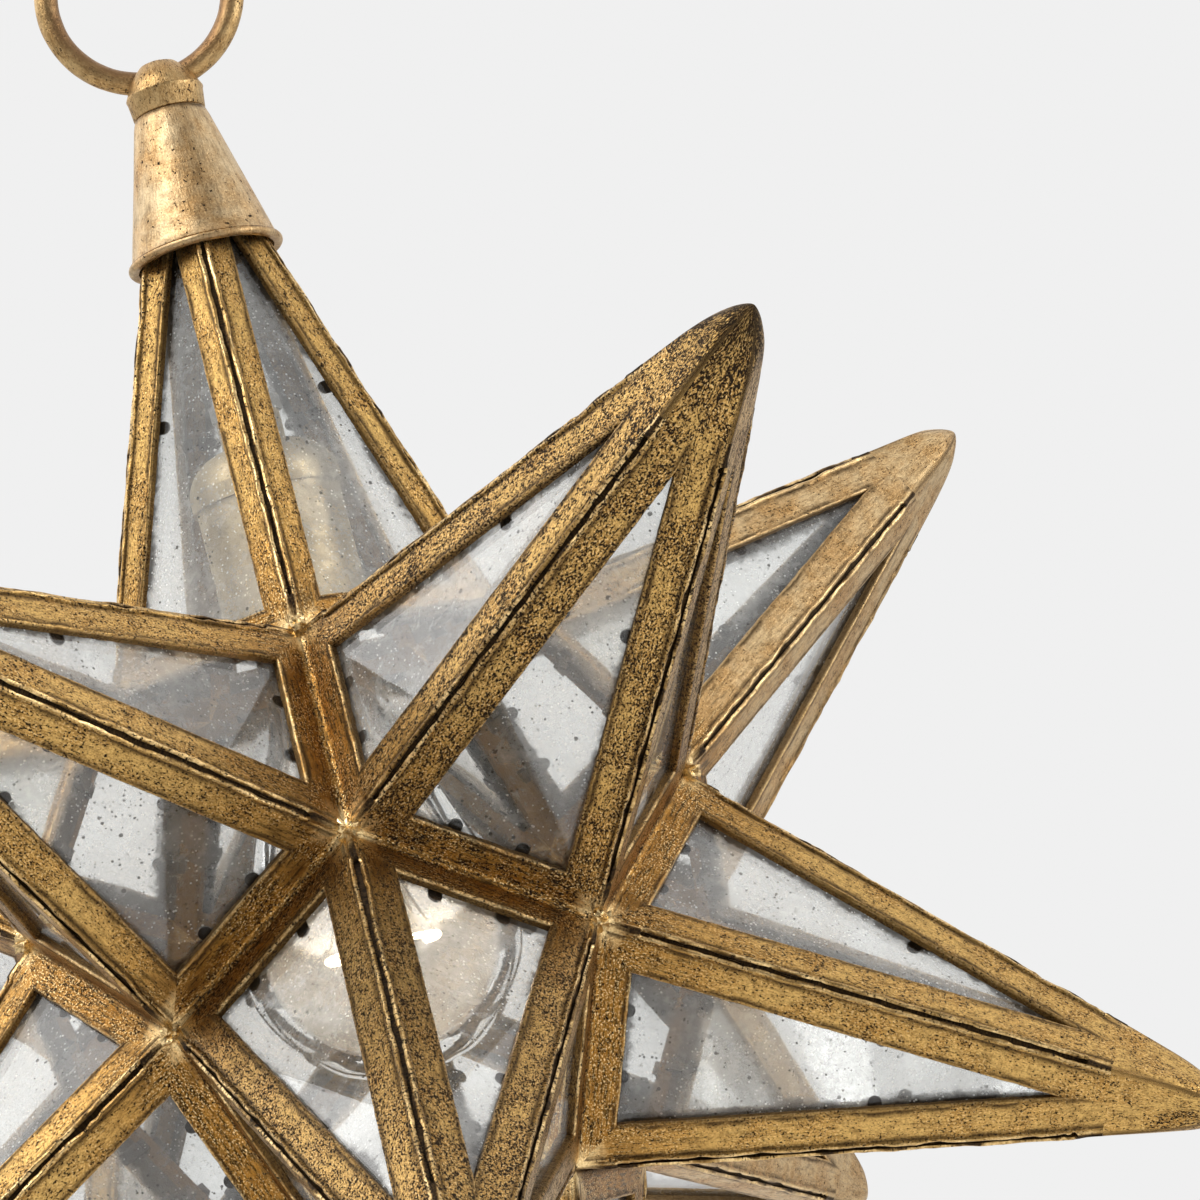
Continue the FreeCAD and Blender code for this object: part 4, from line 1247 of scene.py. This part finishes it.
@shared_group("Dull Mottle",
              {"Vector": PLACE, "Tone": TONE, "Spotted": MASK, "Roughness": MIDDLE},
              {"Colour": "Color", "Roughness": "Float", "Height": "Float"})
def dull_mottle(make, given):
    """Small dark spots and dim clouds on dulled metal, fibre and insulators."""
    place, tone, rough = given["Vector"], given["Tone"], given["Roughness"]
    spots = make.noise(place, 900.0, 4.0, 0.65)
    clouds = make.noise(place, 140.0, 3.0, 0.6)
    mixed = make.mix(spots.fit(0.5, 0.7) * given["Spotted"], tone, make.mix(0.75, tone, BLACK))
    mixed = make.mix(clouds.fit(0.4, 0.75, 0.0, 0.4), mixed, make.mix(0.5, tone, BLACK))
    return mixed, clouds.fit(0.3, 0.7, rough * 0.8, rough * 1.3 & 1.0), spots


@shared_group("Lamp Dust", {"Vector": PLACE}, {"Roughness": "Float"})
def lamp_dust(make, given):
    """Faint dust that dulls the lamp's glass here and there."""
    return [make.noise(given["Vector"], 90.0, 3.0, 0.6).fit(0.5, 0.9, 0.0, 0.02)]


# -------------------------------------------------------------- materials ---
class Finish(Nodes):
    """Wires a new material."""

    def __init__(self, name):
        self.material = bpy.data.materials.new(name)
        self.material.use_nodes = True
        super().__init__(self.material.node_tree)
        self.tree.nodes.clear()

    def close(self, inputs, passes_light=False):
        """Wire the surface; glass in the lamp's way lets its light straight through."""
        shader = self.add("BsdfPrincipled", inputs).outputs[0]
        if passes_light:
            path = self.add("LightPath").outputs["Is Shadow Ray"]
            clear = self.add("BsdfTransparent", {"Color": (0.97, 0.97, 0.97, 1.0)}).outputs[0]
            shader = self.add("MixShader", (path, shader, clear)).outputs[0]
        self.add("OutputMaterial", {"Surface": shader})
        return self.material


def opaque(tone):
    return (*tone, 1.0)


def gilt(name, finish, pit_size=0.00047, inside=None):
    """Gilded metal, on pieces that carry the rim, spot and age facts."""
    make = Finish(name)
    rim, spot, vector = make.facts()
    age = make.value("Attribute", output="Fac", attribute_name="age")
    clouds = make.noise(vector, *PATCH_NOISE)
    places = make.use(metal_places(), Rim=rim, Spot=spot, Noise=clouds, Age=age)
    grain = make.use(pitted_grain(), Vector=vector, Pit_Size=pit_size,
                     Cover=places.pop("Cover"))
    gilding = make.use(
        old_gilding(), Age=age, Leaf=opaque(finish.leaf), Champagne=opaque(finish.champagne),
        Brushed=opaque(finish.brushed), Burnished=opaque(finish.burnished),
        Umber=opaque(finish.umber), Glaze_Tint=opaque(finish.glaze), **grain, **places)
    tone = gilding["Colour"]
    if inside:
        turned = make.split(spot)[1] + (clouds - 0.5) * 90.0
        tone = make.mix(turned.fit(20.0, 75.0, 0.1, 0.9), tone, opaque(inside))
    bump = make.value("Bump", {"Height": gilding["Height"], "Strength": 1.0,
                               "Distance": 0.0002})
    return make.close({"Base Color": tone, "Roughness": gilding["Roughness"],
                       "Metallic": gilding["Metal"], "Specular IOR Level": 0.12,
                       "Normal": bump})


PLAIN = {       # colour, roughness, how spotted, and metal or not
    "blackened_tin": ("tin", 0.5, 0.6, 0.8),
    "dulled_steel": ("steel", 0.4, 0.3, 1.0),
    "hinge_gilding": ("leaf", 0.42, 0.9, 1.0),
    "dulled_brass": ("brass", 0.55, 0.5, 1.0),
    "fibre_liner": ("fibre", 0.8, 0.2, 0.0),
    "black_insulator": ("black", 0.35, 0.2, 0.0),
    "support_wire": ("wire", 0.3, 0.1, 1.0),
}


def plain(name, finish):
    """Metal or dull stuff seen only in part, mottled with small spots."""
    key, roughness, spotted, metal = PLAIN[name]
    make = Finish(name)
    mottle = make.use(dull_mottle(), Vector=make.place(), Tone=opaque(getattr(finish, key)),
                      Spotted=spotted, Roughness=roughness)
    bump = make.value("Bump", {"Height": mottle["Height"], "Strength": 0.3,
                               "Distance": 0.0001})
    return make.close({"Base Color": mottle["Colour"], "Roughness": mottle["Roughness"],
                       "Metallic": metal, "Normal": bump})


def pane_glass(glazing):
    make = Finish("antiqued_pane")
    ripple = make.noise(make.grain(), 35.0, 2.0, 0.5)
    bump = make.value("Bump", {"Height": ripple, "Strength": 0.12, "Distance": 0.0004})
    rough = make.noise(make.grain(), 300.0, 3.0, 0.6).fit(0.4, 0.8, 0.0, 0.03)
    return make.close({"Base Color": opaque(glazing.tint), "Roughness": rough, "IOR": 1.5,
                       "Transmission Weight": 1.0, "Normal": bump}, passes_light=True)


def cloudy_film(glazing):
    make = Finish("cloudy_film")
    rim, _, vector = make.facts()
    haze = make.use(antiqued_haze(), Vector=vector, Rim=rim, Haze=opaque(glazing.haze),
                    Tarnish=opaque(glazing.tarnish))
    return make.close({"Base Color": haze["Colour"], "Roughness": haze["Roughness"],
                       "Alpha": haze["Cover"], "Transmission Weight": 0.45, "IOR": 1.05})


def lamp_glass(name, lamp):
    make = Finish(name)
    dust = make.use(lamp_dust(), Vector=make.place())
    return make.close({"Base Color": opaque(lamp.clear), "Roughness": dust["Roughness"],
                       "IOR": 1.2, "Transmission Weight": 0.965}, passes_light=True)


def lit_filament(lamp):
    make = Finish("lit_filament")
    glow = make.noise(make.place(), 60.0, 1.0)
    tone = make.mix(glow.fit(0.3, 0.7), opaque(lamp.glow), opaque(lamp.hot))
    return make.close({"Base Color": (0.02, 0.02, 0.02, 1.0), "Emission Color": tone,
                       "Emission Strength": lamp.brightness})


# -------------------------------------------------------------- operators ---
AGES = {        # how worn each gilded piece is: 0 is pale and clean, 1 dark and pitted
    "upper": (0.60, 1.0, 0.20, 0.5, 0.5), "lower": (0.90, 0.52, 0.2, 0.5, 0.6),
    "door": 0.6, "top": 0.58, "solder": 0.3, "cap": 0.12, "ring": 0.3,
}
METAL_NUMBERS = {"step": 4.1, "door": 47.3, "top": 53.9}    # so that no two points wear alike
GLASS_NUMBERS = {"step": 3.3, "door": 41.0, "top": 59.0}
LATHE_SHARP = 50                # degrees; a turned piece stays smooth below this
ROUND_SHARP = 60


class PENDANT_OT_points(bpy.types.Operator):
    """Build the gilded metal of all twelve points."""
    bl_idname = "pendant.points"
    bl_label = "Build the points"

    def execute(self, context):
        star = context.scene.pendant_star
        metal = gilt("speckled_gilding", context.scene.pendant_finish)
        skins = {"upper": metal_skin(star), "lower": metal_skin(star, (DOOR_SIDE,))}
        for count, (row, index, matrix) in enumerate(seats()):
            skin = Skin().add(skins[row], matrix, count * METAL_NUMBERS["step"])
            piece = skin.build("gilded_%s_point_%d" % (row, index), [metal],
                               age=AGES[row][index - 1])
            dress(piece, BODY, GILT, "%s_point_frame_%d" % (row, index))
        door = Skin().add(metal_skin(star, range(SIDES)), door_seat(star),
                          METAL_NUMBERS["door"])
        dress(door.build("gilded_door_point", [metal], age=AGES["door"]), DOOR, GILT,
              "door_frame")
        top = Skin().add(metal_skin(star, capped=True), CENTRE, METAL_NUMBERS["top"])
        dress(top.build("gilded_top_point", [metal], age=AGES["top"]), BODY, GILT,
              "top_point_frame")
        dress(solder_skin(star).build("solder_joints", [metal], ROUND_SHARP, AGES["solder"]),
              BODY, GILT)
        return {"FINISHED"}


class PENDANT_OT_glazing(bpy.types.Operator):
    """Build the cloudy panes of all twelve points."""
    bl_idname = "pendant.glazing"
    bl_label = "Glaze the points"

    def execute(self, context):
        star = context.scene.pendant_star
        glazing = context.scene.pendant_glazing
        materials = [pane_glass(glazing), cloudy_film(glazing)]
        usual = glass_skin(star, glazing)
        for count, (row, index, matrix) in enumerate(seats()):
            skin = Skin().add(usual, matrix, count * GLASS_NUMBERS["step"])
            dress(skin.build("cloudy_%s_panes_%d" % (row, index), materials), BODY, GLASS,
                  "%s_point_glass_%d" % (row, index))
        door = Skin().add(usual, door_seat(star), GLASS_NUMBERS["door"])
        dress(door.build("cloudy_door_panes", materials), DOOR, GLASS, "door_glass")
        top = Skin().add(glass_skin(star, glazing, capped=True), CENTRE, GLASS_NUMBERS["top"])
        dress(top.build("cloudy_top_panes", materials), BODY, GLASS, "top_point_glass")
        return {"FINISHED"}


class PENDANT_OT_tabs(bpy.types.Operator):
    """Build the dark tabs that hold the glass."""
    bl_idname = "pendant.tabs"
    bl_label = "Build the pane tabs"

    def execute(self, context):
        star = context.scene.pendant_star
        glazing = context.scene.pendant_glazing
        tin = plain("blackened_tin", context.scene.pendant_finish)
        usual = tab_skin(star, glazing)
        for row in ROWS:
            skin = Skin()
            for name, _, matrix in seats():
                if name == row:
                    skin.add(usual, matrix)
            dress(skin.build("tin_%s_tabs" % row, [tin]), BODY, TIN, row + "_pane_tabs")
        door = Skin().add(usual, door_seat(star))
        dress(door.build("tin_door_tabs", [tin]), DOOR, TIN, "door_pane_tabs")
        top = Skin().add(tab_skin(star, glazing, capped=True), CENTRE)
        dress(top.build("tin_top_tabs", [tin]), BODY, TIN, "top_pane_tabs")
        paint(tin, "door_catch_spring")
        return {"FINISHED"}


class PENDANT_OT_hardware(bpy.types.Operator):
    """Build the cap and the hanging ring, and finish the nuts, disc and hinge."""
    bl_idname = "pendant.hardware"
    bl_label = "Build the cap, ring and hinge"

    def execute(self, context):
        star = context.scene.pendant_star
        hardware = context.scene.pendant_hardware
        finish = context.scene.pendant_finish
        champagne = gilt("champagne_gilding", finish, 0.0010)
        worn = gilt("worn_ring_gilding", finish, 0.0006, finish.bronze)
        cap = cap_skin(star, hardware).build("champagne_cap", [champagne], LATHE_SHARP,
                                             AGES["cap"])
        dress(cap, BODY, GILT, "spun_cap")
        ring = ring_skin(star, hardware).build("worn_ring", [worn], LATHE_SHARP, AGES["ring"])
        dress(ring, BODY, GILT, "hanging_ring")
        paint(plain("dulled_steel", finish), "top_disc", "lock_nuts", "threaded_nipple")
        paint(plain("hinge_gilding", finish), "hinge_leaf_body", "hinge_leaf_door", "hinge_pin")
        return {"FINISHED"}


def add_light(context, name, kind, place, power, tint, **settings):
    """A light that the camera doesn't see."""
    data = bpy.data.lights.new(name, kind)
    data.energy = power
    data.color = tint
    for key, value in settings.items():
        setattr(data, key, value)
    light = bpy.data.objects.new(name, data)
    light.location = place
    light.visible_camera = False
    context.scene.collection.objects.link(light)
    return light


GLOW_RADIUS = 0.013             # about the hoop of the filament
GLOW_DROP = 0.004


class PENDANT_OT_lamp(bpy.types.Operator):
    """Build the clear lamp with its lit filament, and finish the socket."""
    bl_idname = "pendant.lamp"
    bl_label = "Build the lamp and socket"

    def execute(self, context):
        lamp = context.scene.pendant_lamp
        finish = context.scene.pendant_finish
        glass = bulb_skin(lamp).build("clear_bulb", [lamp_glass("clear_bulb", lamp)],
                                      ROUND_SHARP)
        dress(glass, BODY, "clear_glass", "bulb_glass")
        coil = filament_skin(lamp).build("lit_filament", [lit_filament(lamp)], ROUND_SHARP)
        dress(coil, BODY, "filament_wire", "filament")
        paint(lamp_glass("clear_stem", lamp), "bulb_stem")
        paint(plain("dulled_brass", finish), "socket_shell", "socket_cap",
              "socket_screw_shell", "socket_contact", "terminal_screws", "bulb_base",
              "bulb_contact")
        paint(plain("fibre_liner", finish), "socket_liner")
        paint(plain("black_insulator", finish), "socket_core", "bulb_insulator")
        paint(plain("support_wire", finish), "filament_supports")
        glow = add_light(context, "lamp_glow", "POINT", (0, 0, STAR_CENTRE - GLOW_DROP),
                         lamp.light, lamp.warmth, shadow_soft_size=GLOW_RADIUS)
        glow.visible_transmission = False
        glow.visible_glossy = False
        return {"FINISHED"}


FLOOR_RINGS = (0.01, 0.5, 1.5, 3.0, 6.0)
FLOOR_STEPS = 80
LAMPS = {       # place, size across and tint of each soft light
    "key": ((-0.75, -0.75, 1.05), 0.9, (1.0, 0.985, 0.96)),
    "rim": ((1.3, -0.45, 0.1), 0.65, (1.0, 1.0, 1.0)),
    "side": ((-1.05, 0.5, 0.72), 1.2, (1.0, 1.0, 1.0)),
    "fill": ((0.9, -1.2, -0.55), 0.9, (1.0, 1.0, 1.0)),
}
CAMERA_PLACE = (0.01285, -0.91667, -0.33929)
CAMERA_TURN = (99.186, 14.893, -1.272)      # degrees about X, Y and Z


def pale_floor(stage):
    skin = Skin()
    rings = [[skin.corner(polar(radius, 2 * math.pi * step / FLOOR_STEPS, -stage.floor_drop))
              for step in range(FLOOR_STEPS)] for radius in FLOOR_RINGS]
    skin.grid(rings, ring=True)
    skin.face(rings[0])
    make = Finish("pale_floor")
    tone = make.mix(make.noise(make.place(), 3.0, 2.0), (0.80, 0.80, 0.80, 1.0),
                    (0.84, 0.84, 0.84, 1.0))
    return skin.build("pale_floor", [make.close({"Base Color": tone, "Roughness": 0.8})])


def studio_world(stage):
    """A pale backdrop to look at, and a softer light that dims towards the viewer."""
    world = bpy.data.worlds.new("studio")
    world.use_nodes = True
    world.node_tree.nodes.clear()
    make = Nodes(world.node_tree)
    seen = make.add("Background", (opaque([stage.backdrop] * 3), 1.0)).outputs[0]
    _, back, up = make.split(make.value("TexCoord", output="Generated"))
    level = back.fit(-0.85, 0.25, stage.gloom, 0.95) * up.fit(-0.7, 0.8, 0.42, 1.42)
    light = make.add("Background", ((1.0, 0.985, 0.97, 1.0), level)).outputs[0]
    path = make.values(make.add("LightPath").outputs)
    straight = path["Is Camera Ray"] | path["Is Transmission Ray"]
    mixed = make.add("MixShader", (straight, light, seen)).outputs[0]
    make.add("OutputWorld", {"Surface": mixed})
    return world


class PENDANT_OT_stage(bpy.types.Operator):
    """Set the pale floor, the soft studio light and the camera."""
    bl_idname = "pendant.stage"
    bl_label = "Set the stage"

    def execute(self, context):
        stage = context.scene.pendant_stage
        pale_floor(stage)
        context.scene.world = studio_world(stage)
        context.scene.view_settings.view_transform = "Standard"
        for name, (place, size, tint) in LAMPS.items():
            light = add_light(context, name + "_light", "AREA", place, getattr(stage, name),
                              tint, shape="DISK", size=size)
            light.rotation_mode = "QUATERNION"
            towards = Vector((0, 0, STAR_CENTRE)) - Vector(place)
            light.rotation_quaternion = towards.to_track_quat("-Z", "Y")
        data = bpy.data.cameras.new("camera")
        data.sensor_width = 36.0
        data.lens = stage.lens
        data.clip_start = 0.01
        data.clip_end = 50.0
        camera = bpy.data.objects.new("camera", data)
        camera.location = CAMERA_PLACE
        camera.rotation_euler = [math.radians(turn) for turn in CAMERA_TURN]
        context.scene.collection.objects.link(camera)
        context.scene.camera = camera
        return {"FINISHED"}


# ----------------------------------------------------------------- panel ----
OPERATORS = (PENDANT_OT_points, PENDANT_OT_glazing, PENDANT_OT_tabs, PENDANT_OT_hardware,
             PENDANT_OT_lamp, PENDANT_OT_stage)
GROUPS = {"pendant_star": PENDANT_PG_star, "pendant_glazing": PENDANT_PG_glazing,
          "pendant_finish": PENDANT_PG_finish, "pendant_hardware": PENDANT_PG_hardware,
          "pendant_lamp": PENDANT_PG_lamp, "pendant_stage": PENDANT_PG_stage}


class PENDANT_PT_panel(bpy.types.Panel):
    """Sizes and colours of the pendant, and the steps that build it."""
    bl_idname = "PENDANT_PT_panel"
    bl_label = "Star Pendant"
    bl_space_type = "VIEW_3D"
    bl_region_type = "UI"
    bl_category = "Pendant"

    def draw(self, context):
        for name in GROUPS:
            box = self.layout.box()
            settings = getattr(context.scene, name)
            for key in settings.__annotations__:
                box.prop(settings, key)
        for operator in OPERATORS:
            self.layout.operator(operator.bl_idname)


def register():
    for name, kind in GROUPS.items():
        bpy.utils.register_class(kind)
        setattr(bpy.types.Scene, name, PointerProperty(type=kind))
    for operator in OPERATORS:
        bpy.utils.register_class(operator)
    bpy.utils.register_class(PENDANT_PT_panel)


def unregister():
    bpy.utils.unregister_class(PENDANT_PT_panel)
    for operator in reversed(OPERATORS):
        bpy.utils.unregister_class(operator)
    for name, kind in reversed(GROUPS.items()):
        delattr(bpy.types.Scene, name)
        bpy.utils.unregister_class(kind)


def main():
    register()
    bpy.ops.pendant.points()
    bpy.ops.pendant.glazing()
    bpy.ops.pendant.tabs()
    bpy.ops.pendant.hardware()
    bpy.ops.pendant.lamp()
    bpy.ops.pendant.stage()


if __name__ == "__main__":
    main()
